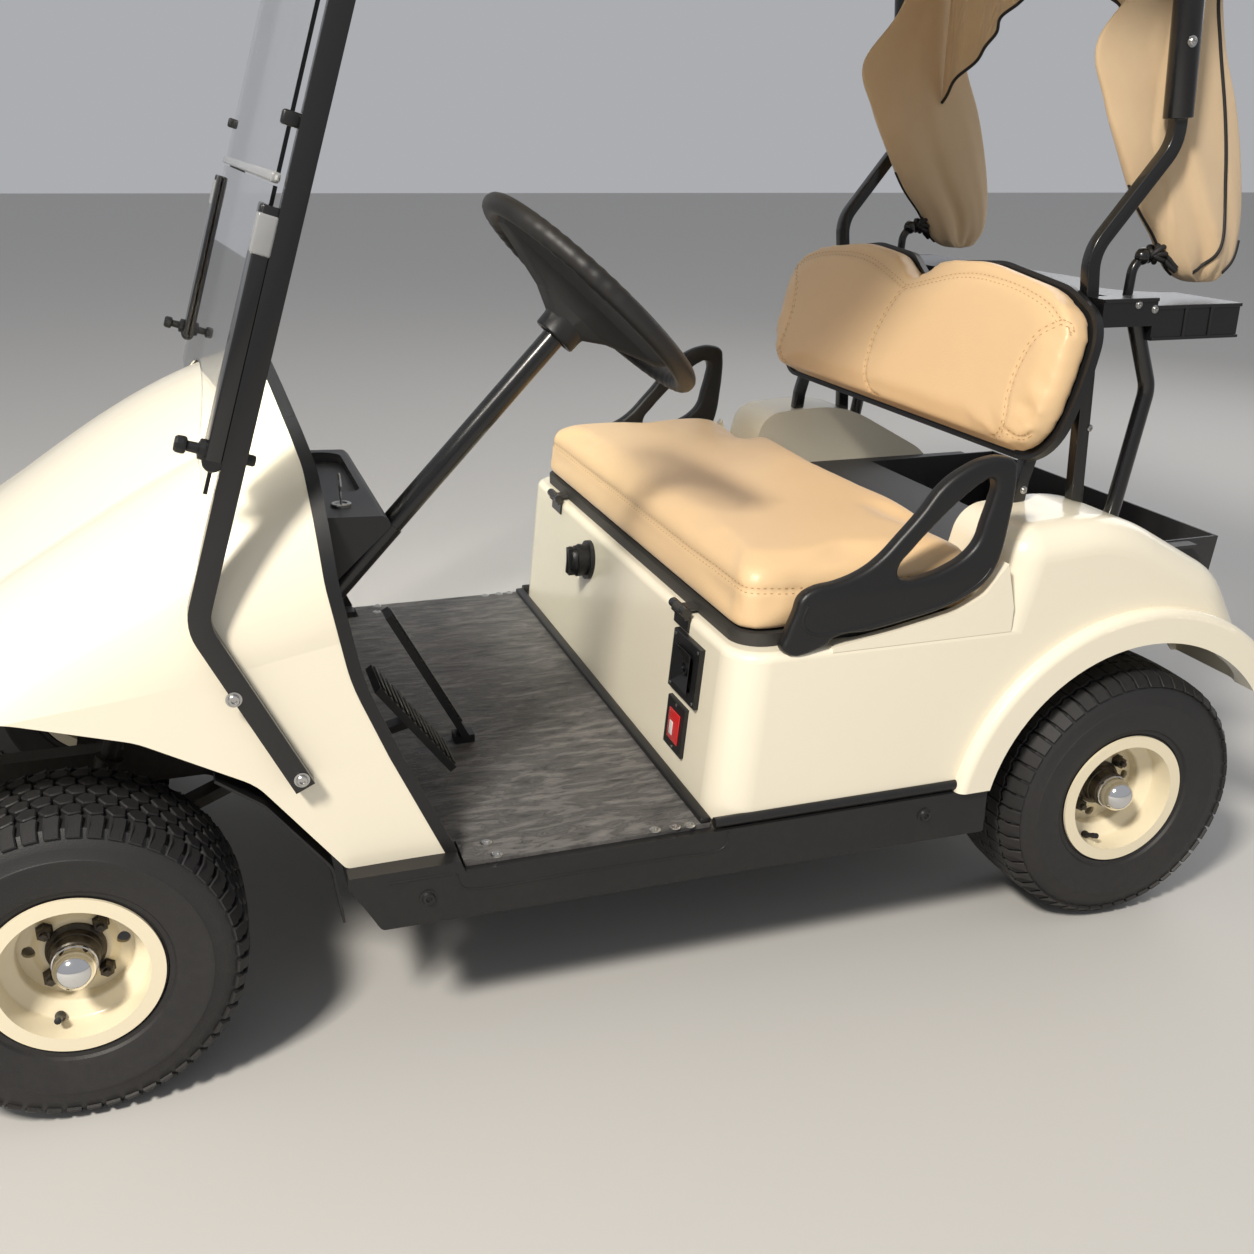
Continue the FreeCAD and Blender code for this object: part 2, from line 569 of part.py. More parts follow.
def rim(x, y, outward):
    """A stepped steel rim, its dished disc and the hub that carries it."""
    w = RIM_WALL
    seat = RIM_SEAT_RADIUS
    well = RIM_WELL_RADIUS
    edge = RIM_HALF_WIDTH
    outer = [(-edge, RIM_FLANGE_RADIUS, 0), (-edge + w, RIM_FLANGE_RADIUS, 0), (-edge + w, seat, 0),
             (-52, seat, 6), (-40, well, 6), (34, well, 6), (46, seat, 6), (edge - w, seat, 0),
             (edge - w, RIM_FLANGE_RADIUS, 0), (edge, RIM_FLANGE_RADIUS, 0)]
    inner = [(edge, seat - w, 0), (50, seat - w, 6), (38, well - w, 6), (-44, well - w, 6),
             (-56, seat - w, 6), (-edge, seat - w, 0)]
    barrel = revolved(outer + inner, x, y, outward)
    disc_in = DISC_OFFSET - 6.0
    disc = [(disc_in, HUB_RADIUS - 4, 0), (DISC_OFFSET, HUB_RADIUS - 4, 0), (DISC_OFFSET, 46, 6),
            (DISC_OFFSET - 8, 58, 6), (DISC_OFFSET - 8, well - w + 1, 0), (disc_in - 8, well - w + 1, 0),
            (disc_in - 8, 56, 6), (disc_in, 44, 6)]
    dish = revolved(disc, x, y, outward)
    for turn in (0, 90, 180, 270):
        angle = math.radians(turn)
        at = Vector(x + DISC_HOLE_PLACE * math.cos(angle), y, AXLE_Z + DISC_HOLE_PLACE * math.sin(angle))
        dish = dish.cut(rod(at, at + Vector(0, outward * edge, 0), DISC_HOLE_RADIUS))
    bore = SPINDLE_RADIUS + FIT
    hub_in = -70.0
    hub = [(hub_in, bore, 0), (hub_in, HUB_RADIUS, 0), (DISC_OFFSET + 0, HUB_RADIUS, 0),
           (HUB_REACH, HUB_RADIUS - 2, 2), (HUB_REACH, 20, 0), (CAP_REACH - 8, 19, 6), (CAP_REACH, 9, 4),
           (CAP_REACH, 0, 0), (HUB_REACH - 5, 0, 0), (HUB_REACH - 5, bore, 0)]
    return fuse([barrel, dish, revolved(hub, x, y, outward)])


# Floor and sills
TOE_LINE = [(408.0, FLOOR_TOP - 2.5), (462.0, 420.0), (462.0, 617.0)]
TOE_SHEET = 5.0
CAB_HALF_WIDTH = HOOD_STATIONS[1][1] - BODY_WALL - 4.0


def column_hole():
    start = WHEEL_CENTRE - COLUMN_DIRECTION * 300
    return rod(start, WHEEL_CENTRE - COLUMN_DIRECTION * 900, SLEEVE_RADIUS + PANEL_GAP)


def floor_pan():
    """The flat floor and the toe board that rises to the dash."""
    flat = block(KICK_BOTTOM_X - 60, 410.0, -ROCKER_INNER_Y, ROCKER_INNER_Y, FLOOR_BOTTOM, FLOOR_TOP)
    toe = strip(TOE_LINE, TOE_SHEET, 40.0, "xz", -CAB_HALF_WIDTH + 10, CAB_HALF_WIDTH - 10)
    toe = toe.cut(block(300, 600, -700, 700, 0, FLOOR_BOTTOM)).cut(column_hole())
    for low, high in ((-700, -ROCKER_INNER_Y), (ROCKER_INNER_Y, 700)):
        toe = toe.cut(block(300, 600, low, high, 0, 313.0))
    return fuse([flat, toe])


def splash_panels():
    """Dark guards behind the front wheels, from the sill's nose up inside the cowl's edge."""
    line = [(446.0, 222.0), (456.0, 312.0), (540.0, 424.0), (600.0, 470.0)]
    guard = strip(line, 4.0, 40.0, "xz", RAIL_OUTER, HOOD_STATIONS[1][1] - BODY_WALL - 4)
    return both_sides(guard)


def floor_mat():
    """The textured mat, which laps over both sills beside the seat box and narrows at the cowl."""
    half = ROCKER_OUTER_Y - 16
    inner = ROCKER_INNER_Y - 1
    rows = [(KICK_BOTTOM_X + PANEL_GAP, -half, 4), (274.0, -half, 4), (274.0, -inner, 0), (398.0, -inner, 0),
            (398.0, inner, 0), (274.0, inner, 0), (274.0, half, 4), (KICK_BOTTOM_X + PANEL_GAP, half, 4)]
    return plate(rows, "xy", FLOOR_TOP, MAT_TOP)


# Columns: x, z, corner radius
ROCKER_OUTLINE = [(-584.0, ROCKER_BOTTOM, 4), (398.0, ROCKER_BOTTOM + 8, 10), (441.0, 300.0, 4),
                  (441.0, 313.0, 3), (282.0, 313.0, 3), (276.0, FLOOR_TOP, 3), (-584.0, FLOOR_TOP, 4)]


def rocker_panels():
    """Extruded sills along both sides, hollow on the inner side."""
    sill = plate(ROCKER_OUTLINE, "xz", ROCKER_INNER_Y, ROCKER_OUTER_Y)
    hollow = block(-580.0, 390.0, ROCKER_INNER_Y - 1, ROCKER_OUTER_Y - 6, ROCKER_BOTTOM + 14, FLOOR_TOP - 6)
    sill = sill.cut(hollow)
    return both_sides(sill)


# Rear body
FENDER_FRONT_X = -612.0
DECK_FRONT_X = -606.0
LEDGE_FRONT_X = -560.0
DECK_REAR_X = -860.0
DECK_Z = 600.0
WELL_SHEET = 6.0
WELL_HALF_WIDTH = 360.0
# Columns: x, z, corner radius
FENDER_SIDE = [(-540.0, FLOOR_TOP, 0), (-568.0, SEAT_RIM_Z - 10, 60), (FENDER_FRONT_X + 4, FENDER_CROWN_Z - 4, 56),
               (-800.0, FENDER_CROWN_Z + 8, 260), (-1012.0, 612.0, 130), (-1090.0, 482.0, 70),
               (TAIL_X, TAIL_Z, 0), (TAIL_X, FLOOR_TOP, 0)]
SEAT_BOX_REAR = -640.0
RIM_SWEEP_Y = 556.0
CORNER_RADIUS = 60.0
RIM_ROUND = 14.0
FENDER_ROUND = 52.0


def side_edges(body, half_width):
    """The edges that lie in one of the two outer side faces."""
    return [edge for edge in body.Edges
            if all(abs(abs(corner.Y) - half_width) < 0.01 for corner in edge.Vertexes)
            and edge.Vertexes[0].Y * edge.Vertexes[-1].Y > 0]


def seat_box(inset):
    """The box under the seat, with round front corners, or the same form inset by its wall."""
    half = BODY_HALF_WIDTH - inset
    rows = [(KICK_BOTTOM_X - inset, FLOOR_TOP - inset, 0), (KICK_TOP_X - inset, SEAT_RIM_Z - inset, 0),
            (SEAT_BOX_REAR, SEAT_RIM_Z - inset, 0), (SEAT_BOX_REAR, FLOOR_TOP - inset, 0)]
    box = plate(rows, "xz", -half, half)
    corners = [edge for edge in side_edges(box, half) if edge.Vertexes[0].X > -200 and edge.Vertexes[1].X > -200]
    box = box.makeFillet(CORNER_RADIUS - inset, corners)
    top = [edge for edge in box.Edges if edge.BoundBox.ZMin > SEAT_RIM_Z - inset - 1 and edge.BoundBox.XMax > -150]
    return box.makeFillet(RIM_ROUND - inset, top)


def fender_block(inset):
    """Both fenders' outer form, with soft outer edges, or the same form inset by its wall."""
    half = BODY_HALF_WIDTH - inset
    rows = []
    count = len(FENDER_SIDE)
    for i, (x, z, r) in enumerate(FENDER_SIDE):
        before = FENDER_SIDE[i - 1]
        after = FENDER_SIDE[(i + 1) % count]
        run_in = Vector(x - before[0], z - before[1], 0).normalize()
        run_out = Vector(after[0] - x, after[1] - z, 0).normalize()
        miter = (run_in + run_out).normalize()
        inward = Vector(-miter.y, miter.x, 0)
        reach = inset / inward.dot(Vector(-run_in.y, run_in.x, 0))
        turn = run_in.cross(run_out).z
        radius = 0 if r == 0 else r - math.copysign(inset, turn)
        rows.append((x + inward.x * reach, z + inward.y * reach, radius))
    body = plate(rows, "xz", -half, half)
    outer = [edge for edge in side_edges(body, half) if edge.BoundBox.ZMin > FLOOR_TOP + 20]
    return body.makeFillet(FENDER_ROUND - inset, outer)


def rim_sweep(grow):
    """The rim beside the cushion's end that sweeps up to the fender, on one side."""
    rows = [(-290.0, SEAT_RIM_Z - 8, 0), (-290.0, SEAT_RIM_Z + grow, 0), (-400.0, 584.0 + grow, 160),
            (-500.0, 603.0 + grow, 110), (-546.0, 626.0 + grow, 40), (-582.0, 672.0 + grow, 0), (-600.0, 600.0, 0),
            (-600.0, SEAT_RIM_Z - 8, 0)]
    return plate(rows, "xz", RIM_SWEEP_Y, BODY_HALF_WIDTH + grow)


def rear_body():
    """One hollow moulding: kick panel, seat box sides and both rear fenders with raised arches."""
    half = BODY_HALF_WIDTH
    front_x = FENDER_FRONT_X
    shell = seat_box(0.0).fuse(fender_block(0.0)).removeSplitter()
    inner = seat_box(BODY_WALL).fuse(fender_block(BODY_WALL))
    keep = FENDER_INNER_Y + BODY_WALL
    inner = inner.cut(block(-2000, front_x + BODY_WALL, -keep, keep, 0, 2000))
    inner = inner.cut(block(-2000, LEDGE_FRONT_X, -keep, keep, SEAT_RIM_Z - BODY_WALL, 2000))
    flare = FLARE_WIDTH + ARCH_RADIUS
    for s in (-1, 1):
        ring = rod(Vector(REAR_AXLE_X, s * (half - 20), AXLE_Z), Vector(REAR_AXLE_X, s * FLARE_OUTER_Y, AXLE_Z),
                   flare)
        rim_edge = [edge for edge in ring.Edges if abs(edge.BoundBox.YMin - s * FLARE_OUTER_Y) < 0.01
                    and edge.BoundBox.YLength < 0.01]
        ring = ring.makeFillet(14.0, rim_edge)
        ring = ring.cut(block(-2000, 0, -700, 700, -500, FLOOR_TOP))
        ring = ring.cut(block(-2000, TAIL_X, -700, 700, 0, 2000))
        shell = shell.fuse(ring)
    shell = shell.cut(inner).fuse(both_sides(rim_sweep(0.0)).cut(inner))
    shell = shell.cut(block(-2000, front_x, -FENDER_INNER_Y, FENDER_INNER_Y, 0, 2000))
    shell = shell.cut(block(-2000, LEDGE_FRONT_X, -FENDER_INNER_Y, FENDER_INNER_Y, SEAT_RIM_Z, 2000))
    shell = shell.cut(block(-2000, DECK_FRONT_X + WELL_SHEET / 2, -FENDER_INNER_Y, FENDER_INNER_Y,
                            SEAT_RIM_Z - 60, 2000))
    shell = shell.cut(block(-600.0, KICK_BOTTOM_X - 20, -half + BODY_WALL, half - BODY_WALL, 0, FLOOR_TOP + 6))
    shell = shell.cut(rod(Vector(REAR_AXLE_X, -700, AXLE_Z), Vector(REAR_AXLE_X, 700, AXLE_Z), ARCH_RADIUS))
    shell = shell.cut(block(-2000, -1000, -700, 700, 0, TAIL_Z))
    opening = [(KICK_TOP_X - 42, -440, 30), (KICK_TOP_X - 42, 440, 30), (-520, 440, 30), (-520, -440, 30)]
    shell = shell.cut(plate(opening, "xy", SEAT_RIM_Z - 30, SEAT_RIM_Z + 30))
    return shell.cut(block(-700, front_x + 20, -FENDER_INNER_Y, FENDER_INNER_Y, 0, SEAT_RIM_Z - 60))


def battery_pack():
    """The batteries under the seat, as one plain block on the frame."""
    return block(-500.0, -190.0, -330.0, 330.0, RAIL_MID_Z + RAIL_HEIGHT / 2, 540.0)


WELL_FLOOR = RAIL_REAR_Z + RAIL_HEIGHT / 2


def bag_well():
    """The dark deck behind the seat and the tub behind it that the golf bags stand in."""
    half = WELL_HALF_WIDTH
    rim = FENDER_INNER_Y - PANEL_GAP
    floor_z = WELL_FLOOR + WELL_SHEET / 2
    back = [(DECK_REAR_X, DECK_Z), (DECK_REAR_X - 18.0, floor_z), (REAR_END + 26.0, floor_z),
            (REAR_END + WELL_SHEET / 2, DECK_Z + 6)]
    tub = strip(back, WELL_SHEET, 24.0, "xz", -half, half)
    deck = strip([(DECK_FRONT_X, SEAT_RIM_Z - 50), (DECK_FRONT_X, DECK_Z), (DECK_REAR_X, DECK_Z)], WELL_SHEET,
                 8.0, "xz", -rim, rim)
    side = [(DECK_REAR_X + 2, DECK_Z, 0), (DECK_REAR_X - 16, WELL_FLOOR, 0), (REAR_END + 26.0, WELL_FLOOR, 0),
            (REAR_END + 1, DECK_Z + 6, 6), (DECK_REAR_X + 2, DECK_Z + 3, 0)]
    parts = [tub, deck]
    for s in (-1, 1):
        low, high = sorted((s * half, s * (half - 5)))
        parts.append(plate(side, "xz", low, high))
        low, high = sorted((s * (half - 5), s * rim))
        parts.append(block(-1112.0, DECK_REAR_X + 2, low, high, DECK_Z - WELL_SHEET / 2, DECK_Z + WELL_SHEET / 2))
    divider = plate([(DECK_REAR_X - 16, WELL_FLOOR, 0), (-1150.0, WELL_FLOOR, 0), (-1150.0, 500.0, 12),
                     (DECK_REAR_X - 10, 560.0, 40)], "xz", -12.0, 12.0)
    return fuse(parts + [divider])


# Steering column, wheel and pedals
def along_column(distance):
    return WHEEL_CENTRE - COLUMN_DIRECTION * distance


GEAR_X = 694.0


def steering_column():
    """The column with its thicker lower sleeve, the lower shaft and the steering gear."""
    upper = rod(along_column(46), along_column(480), COLUMN_RADIUS)
    sleeve = rod(along_column(450), along_column(705), SLEEVE_RADIUS)
    shaft = rod(along_column(24), along_column(60), COLUMN_SHAFT_RADIUS)
    knee = along_column(700)
    lower = tube([knee, Vector(655, 130, 408), Vector(GEAR_X, 130, 306)], 10.0, 24.0)
    joint = Part.makeSphere(SLEEVE_RADIUS + 1, knee)
    gear = rod(Vector(GEAR_X, -RAIL_INNER, 300), Vector(GEAR_X, RAIL_INNER, 300), 24.0)
    return fuse([upper, sleeve, shaft, lower, joint, gear])


# The wheel's moulded housing, from the collar round the column up to the wings that carry the grip.
# Columns: height, front reach and half width, middle half width, rear reach and half width, corner radius
HOUSING_STATIONS = [(-80.0, 28.0, 18.0, 29.0, 28.0, 18.0, 8.0), (-58.0, 32.0, 22.0, 32.0, 32.0, 22.0, 10.0),
                    (-40.0, 66.0, 32.0, 50.0, 58.0, 44.0, 14.0), (-16.0, 168.0, 30.0, 84.0, 122.0, 100.0, 18.0),
                    (0.0, 180.0, 34.0, 90.0, 136.0, 116.0, 20.0)]
COLLAR_CLEARANCE = 1.2
PANEL_RECESS = 5.0
# The recessed panel in the housing's top. Columns: x, y, corner radius
WHEEL_PANEL = [(104.0, 22.0, 10), (4.0, 62.0, 30), (-92.0, 78.0, 14), (-92.0, -78.0, 14), (4.0, -62.0, 30),
               (104.0, -22.0, 10)]


def steering_wheel():
    """A round grip carried by one wide moulded housing with a recessed panel."""
    sections = []
    for z, front, front_half, half, rear, rear_half, r in HOUSING_STATIONS:
        corners = [(front, front_half), (0.0, half), (-rear, rear_half), (-rear, -rear_half), (0.0, -half),
                   (front, -front_half)]
        sections.append(rounded_wire([Vector(x, y, z) for x, y in corners], [r] * len(corners)))
    body = Part.makeLoft(sections, True, True)
    body = body.cut(plate(WHEEL_PANEL, "xy", -PANEL_RECESS, 10.0))
    body = body.fuse(Part.makeTorus(STEERING_RIM_RADIUS, STEERING_GRIP_RADIUS))
    bore = COLUMN_RADIUS + COLLAR_CLEARANCE
    body = body.cut(Part.makeCylinder(bore, 50.0, Vector(0, 0, -46.0 - 48.0)))
    body = body.cut(Part.makeCylinder(COLUMN_SHAFT_RADIUS + FIT, 26, Vector(0, 0, -49)))
    place = FreeCAD.Placement(WHEEL_CENTRE, FreeCAD.Rotation(Vector(0, 0, 1), COLUMN_DIRECTION))
    return body.transformed(place.toMatrix(), True)


def pedals():
    """The ribbed brake plate on its arm, and the long accelerator bar hinged at the floor."""
    brake = strip([(246.0, 348.0), (356.0, 496.0)], 12.0, 0, "xz", 268.0, 366.0)
    arm = strip([(306.0, 418.0), (380.0, 400.0), (475.0, 406.0)], 12.0, 20.0, "xz", 304.0, 330.0).cut(floor_pan())
    throttle = strip([(186.0, MAT_TOP + 10), (308.0, 545.0)], 12.0, 0, "xz", 142.0, 188.0)
    heel = block(172.0, 206.0, 150.0, 180.0, MAT_TOP, MAT_TOP + 14)
    return Part.makeCompound([fuse([brake, arm]), fuse([throttle, heel])])


def kick_face_x(z):
    """Where the kick panel's front face stands at a height."""
    share = (z - FLOOR_TOP) / (SEAT_RIM_Z - FLOOR_TOP)
    return KICK_BOTTOM_X + (KICK_TOP_X - KICK_BOTTOM_X) * share


def on_kick_panel(y0, y1, z0, z1, thickness):
    """A flat piece that lies against the kick panel's sloping front."""
    rows = [(kick_face_x(z0), z0, 0), (kick_face_x(z1), z1, 0), (kick_face_x(z1) + thickness, z1, 2),
            (kick_face_x(z0) + thickness, z0, 2)]
    return plate(rows, "xz", y0, y1)


def kick_panel_sockets():
    """The charge socket's square bezel, and below it the small indicator's."""
    socket = on_kick_panel(352.0, 462.0, 442.0, 540.0, 9.0)
    socket = socket.cut(on_kick_panel(372.0, 442.0, 460.0, 522.0, 20.0).translated(Vector(4, 0, 0)))
    lamp = on_kick_panel(356.0, 430.0, 344.0, 427.0, 7.0)
    return Part.makeCompound([socket, lamp])


SELECTOR_PLACE = (-128.0, 508.0)
SELECTOR_RADIUS = 37.5


def direction_selector():
    """A round knob with a grip bar, on a round plate."""
    y, z = SELECTOR_PLACE
    x = kick_face_x(z) + 4
    disc = rod(Vector(x - 20, y, z), Vector(x + 30, y, z), SELECTOR_RADIUS)
    base = disc.common(on_kick_panel(y - 60, y + 60, z - 60, z + 60, 8.0))
    knob = rod(Vector(x, y, z), Vector(x + 24, y, z), SELECTOR_RADIUS - 8)
    grip = block(x + 22, x + 40, y - 9, y + 9, z - 26, z + 26)
    return fuse([base, knob, grip])


# Seat
def seat_cushion():
    z = SEAT_RIM_Z + PANEL_GAP + PAN_THICKNESS + PANEL_GAP
    half = CUSHION_HALF_WIDTH
    notch = FENDER_INNER_Y - 30
    rows = [(CUSHION_FRONT_X, half, 50), (CUSHION_END_X, half - 4, 34), (CUSHION_END_X, notch, 16),
            (CUSHION_REAR_X, notch - 20, 16)]
    rows = [(x, -y, r) for x, y, r in rows] + rows[::-1]
    pad = plate(rows, "xy", z, z + CUSHION_THICKNESS)
    top = [edge for edge in pad.Edges if edge.BoundBox.ZMin > z + CUSHION_THICKNESS - 1]
    return pad.makeFillet(28.0, top)


def seat_pan():
    """The base board under the cushion, with the moving halves of its two hinges."""
    z = SEAT_RIM_Z + PANEL_GAP
    front = CUSHION_FRONT_X - 4
    half = CUSHION_HALF_WIDTH - 4
    rows = [(front, -half, 50), (front, half, 50), (CUSHION_END_X + 4, half - 4, 34), (CUSHION_END_X + 4, -half + 4, 34)]
    parts = [plate(rows, "xy", z, z + PAN_THICKNESS)]
    for y in (-HINGE_Y, HINGE_Y):
        parts.append(block(CUSHION_FRONT_X - 40, HINGE_X, y - 14, y + 14, HINGE_Z - 3, HINGE_Z + 3))
        parts.append(rod(Vector(HINGE_X, y - 14, HINGE_Z), Vector(HINGE_X, y + 14, HINGE_Z), HINGE_BARREL_RADIUS))
    body = fuse(parts)
    for y in (-HINGE_Y, HINGE_Y):
        body = body.cut(rod(Vector(HINGE_X, y - 40, HINGE_Z), Vector(HINGE_X, y + 40, HINGE_Z),
                            HINGE_PIN_RADIUS + FIT))
    return body


def seat_hinges():
    """The fixed halves: a leaf on the kick panel with two barrels and the pin."""
    hinges = []
    for y in (-HINGE_Y, HINGE_Y):
        leaf = on_kick_panel(y - 30, y + 30, 543.0, HINGE_Z - 9, 4.0)
        parts = [leaf, rod(Vector(HINGE_X, y - 30, HINGE_Z), Vector(HINGE_X, y + 30, HINGE_Z), HINGE_PIN_RADIUS)]
        for low, high in ((y - 30, y - 15), (y + 15, y + 30)):
            parts.append(rod(Vector(HINGE_X, low, HINGE_Z), Vector(HINGE_X, high, HINGE_Z), HINGE_BARREL_RADIUS))
            parts.append(block(HINGE_X - 5, HINGE_X + 3, low, high, HINGE_Z - 12, HINGE_Z - 4))
        hinges.append(fuse(parts))
    return Part.makeCompound(hinges)


# Two-lobed outline of the seat back. Columns: across, up along the lean, corner radius
BACK_OUTLINE = [(-486.0, 0.0, 84), (-504.0, 130.0, 300), (-496.0, 226.0, 70), (-400.0, 266.0, 160),
                (-210.0, 290.0, 200), (-86.0, 280.0, 70), (0.0, 232.0, 40), (86.0, 280.0, 70),
                (210.0, 290.0, 200), (400.0, 266.0, 160), (496.0, 226.0, 70), (504.0, 130.0, 300), (486.0, 0.0, 84)]


def leaned(shape):
    """Stand a piece drawn in the seat back's own plane at its lean."""
    turn = FreeCAD.Rotation(Vector(0, 1, 0), -BACK_LEAN)
    return shape.transformed(FreeCAD.Placement(BACK_BOTTOM, turn).toMatrix(), True)


def grown_outline(margin):
    return [(y * (1 + margin / BACK_HALF_WIDTH), u + (margin if u > 100 else -margin), r + margin)
            for y, u, r in BACK_OUTLINE]


def seat_back_pad():
    return leaned(plate(BACK_OUTLINE, "yz", -BACK_THICKNESS + PANEL_GAP, 0.0))


def seat_back_shell():
    """The black moulded back that wraps the pad's rear edge."""
    outer = plate(grown_outline(SHELL_MARGIN), "yz", -BACK_THICKNESS - SHELL_THICKNESS, -BACK_THICKNESS + SHELL_WRAP)
    pocket = plate(grown_outline(PANEL_GAP), "yz", -BACK_THICKNESS, -BACK_THICKNESS + 40)
    return leaned(outer.cut(pocket))


BACK_POST_Y = 412.0
POST_THICKNESS = 22.0


def seat_back_frame():
    """Two square posts from the fenders up behind the seat back."""
    back = -BACK_THICKNESS - SHELL_THICKNESS - POST_THICKNESS / 2
    lean = math.radians(BACK_LEAN)
    up = Vector(-math.sin(lean), 0, math.cos(lean))
    front = Vector(math.cos(lean), 0, math.sin(lean))
    low = BACK_BOTTOM + front * back - up * 40
    high = BACK_BOTTOM + front * back + up * 175
    line = [(low.x + 6, FENDER_CROWN_Z - 20), (low.x, low.z), (high.x, high.z)]
    half = POST_THICKNESS / 2
    post = strip(line, POST_THICKNESS, 40.0, "xz", BACK_POST_Y - half, BACK_POST_Y + half)
    return both_sides(post.cut(fender_block(0.0)))


HIP_INNER_Y = 552.0
HIP_OUTER_Y = 578.0
# Columns: x, z, corner radius
HIP_OUTLINE = [(-206.0, SEAT_RIM_Z + PANEL_GAP, 0), (-206.0, 578.0, 6), (-231.0, 604.0, 12), (-229.0, 640.0, 8), (-250.0, 658.0, 30),
               (-364.0, 720.0, 160), (-478.0, 820.0, 90), (-530.0, 841.0, 24), (-560.0, 839.0, 14),
               (-578.0, 822.0, 10), (-578.0, 800.0, 30), (-564.0, 690.0, 30),
               (-545.0, SEAT_RIM_Z + PANEL_GAP, 0)]
HIP_WINDOW = [(-380.0, 668.0, 8), (-440.0, 660.0, 30), (-490.0, 678.0, 30), (-531.0, 737.0, 60),
              (-544.0, 812.0, 8), (-526.0, 812.0, 14), (-481.0, 786.0, 30), (-436.0, 745.0, 60)]
HIP_UNDERSIDE = [(-276.0, 500.0, 0), (-276.0, 586.0, 10), (-376.0, 597.0, 60), (-500.0, 607.0, 40), (-530.0, 624.0, 0),
                 (-530.0, 500.0, 0)]


def hip_restraints():
    """Moulded hoops at both ends of the bench, on the body's rim."""
    hoop = plate(HIP_OUTLINE, "xz", HIP_INNER_Y, HIP_OUTER_Y)
    hoop = hoop.cut(plate(HIP_WINDOW, "xz", HIP_INNER_Y - 1, HIP_OUTER_Y + 1))
    hoop = hoop.cut(plate(HIP_UNDERSIDE, "xz", HIP_INNER_Y - 1, HIP_OUTER_Y + 1))
    hoop = hoop.cut(rim_sweep(PANEL_GAP)).cut(seat_box(-PANEL_GAP)).cut(fender_block(-PANEL_GAP))
    return both_sides(hoop)


# Windshield, struts and roof
STRUT_BEND = (601.5, 700.0)
STRUT_FOOT = (486.0, 457.0)
STRUT_SLOPE = -0.314


def strut_x(z):
    """The front strut's centre line above its bend."""
    return STRUT_BEND[0] + STRUT_SLOPE * (z - STRUT_BEND[1])


def front_struts():
    line = [STRUT_FOOT, STRUT_BEND, (strut_x(ROOF_UNDERSIDE + 40), ROOF_UNDERSIDE + 40)]
    post = strip(line, STRUT_DEPTH, 60.0, "xz", STRUT_Y - STRUT_WIDTH / 2, STRUT_Y + STRUT_WIDTH / 2)
    post = post.cut(block(0, 1000, 0, 700, ROOF_UNDERSIDE, ABOVE_ROOF)).cut(roof())
    return both_sides(post.cut(hood_loft(0.2)))


def along_strut(offset, thickness, z0, z1, y0, y1):
    """A flat piece parallel to the front struts, in front of their centre line."""
    slope = math.hypot(1, STRUT_SLOPE)
    shift = (offset + thickness / 2) * slope
    line = [(strut_x(z0) + shift, z0), (strut_x(z1) + shift, z1)]
    return strip(line, thickness, 0, "xz", y0, y1)


def windshield_rails():
    """Channels on the struts that the panes' edges stand in."""
    strips = along_strut(STRUT_DEPTH / 2, RAIL_STRIP, 905.0, 1700.0, 510.0, STRUT_Y + STRUT_WIDTH / 2)
    groove = along_strut(STRUT_DEPTH / 2 + PANE_OFFSET - PANEL_GAP, PANE_THICKNESS + 2 * PANEL_GAP, 850.0, 1750.0,
                         500.0, PANE_HALF_WIDTH + PANEL_GAP)
    return both_sides(strips.cut(groove))


def windshield():
    """Two clear panes, one above the other, in the rails."""
    offset = STRUT_DEPTH / 2 + PANE_OFFSET
    lower = along_strut(offset, PANE_THICKNESS, PANE_BOTTOM_Z, PANE_SPLIT_Z, -PANE_HALF_WIDTH, PANE_HALF_WIDTH)
    upper = along_strut(offset, PANE_THICKNESS, PANE_SPLIT_Z + 4, 1690.0, -PANE_HALF_WIDTH, PANE_HALF_WIDTH)
    return Part.makeCompound([lower.cut(hood_loft(6.0)), upper])


# Columns: x, z
REAR_STRUT_LINE = [(-810.0, FENDER_CROWN_Z - 20), (-800.0, 925.0), (-780.0, 1116.0), (-910.0, 1277.0),
                   (-876.0, ROOF_UNDERSIDE + 10)]


def rear_struts():
    """Bent bars from the fenders up past the bag rack to the roof, with round upper sleeves."""
    half = REAR_STRUT_WIDTH / 2
    post = strip(REAR_STRUT_LINE, REAR_STRUT_DEPTH, 70.0, "xz", REAR_STRUT_Y - half, REAR_STRUT_Y + half)
    bend, top = (Vector(x, REAR_STRUT_Y, z) for x, z in REAR_STRUT_LINE[-2:])
    sleeve = rod(bend + (top - bend) * 0.075, top, SLEEVE_STRUT_RADIUS)
    return both_sides(post.fuse(sleeve).cut(fender_block(0.0)).cut(
        block(-1000, -700, 0, 700, ROOF_UNDERSIDE, ABOVE_ROOF)))


def roof():
    """A shallow moulded top with a turned-down edge."""
    def tray(inset, low, high, edge_round):
        rows = [(ROOF_FRONT_X - inset, -ROOF_HALF_WIDTH + inset, 110), (ROOF_FRONT_X - inset, ROOF_HALF_WIDTH - inset, 110),
                (ROOF_REAR_X + inset, ROOF_HALF_WIDTH - inset, 110), (ROOF_REAR_X + inset, -ROOF_HALF_WIDTH + inset, 110)]
        form = plate(rows, "xy", low, high)
        top = [edge for edge in form.Edges if edge.BoundBox.ZMin > high - 1]
        return form.makeFillet(edge_round, top)
    return tray(0, ROOF_TOP - ROOF_DEPTH, ROOF_TOP, 36.0).cut(
        tray(ROOF_WALL, ROOF_TOP - ROOF_DEPTH - 50, ROOF_UNDERSIDE, 36.0 - ROOF_WALL))


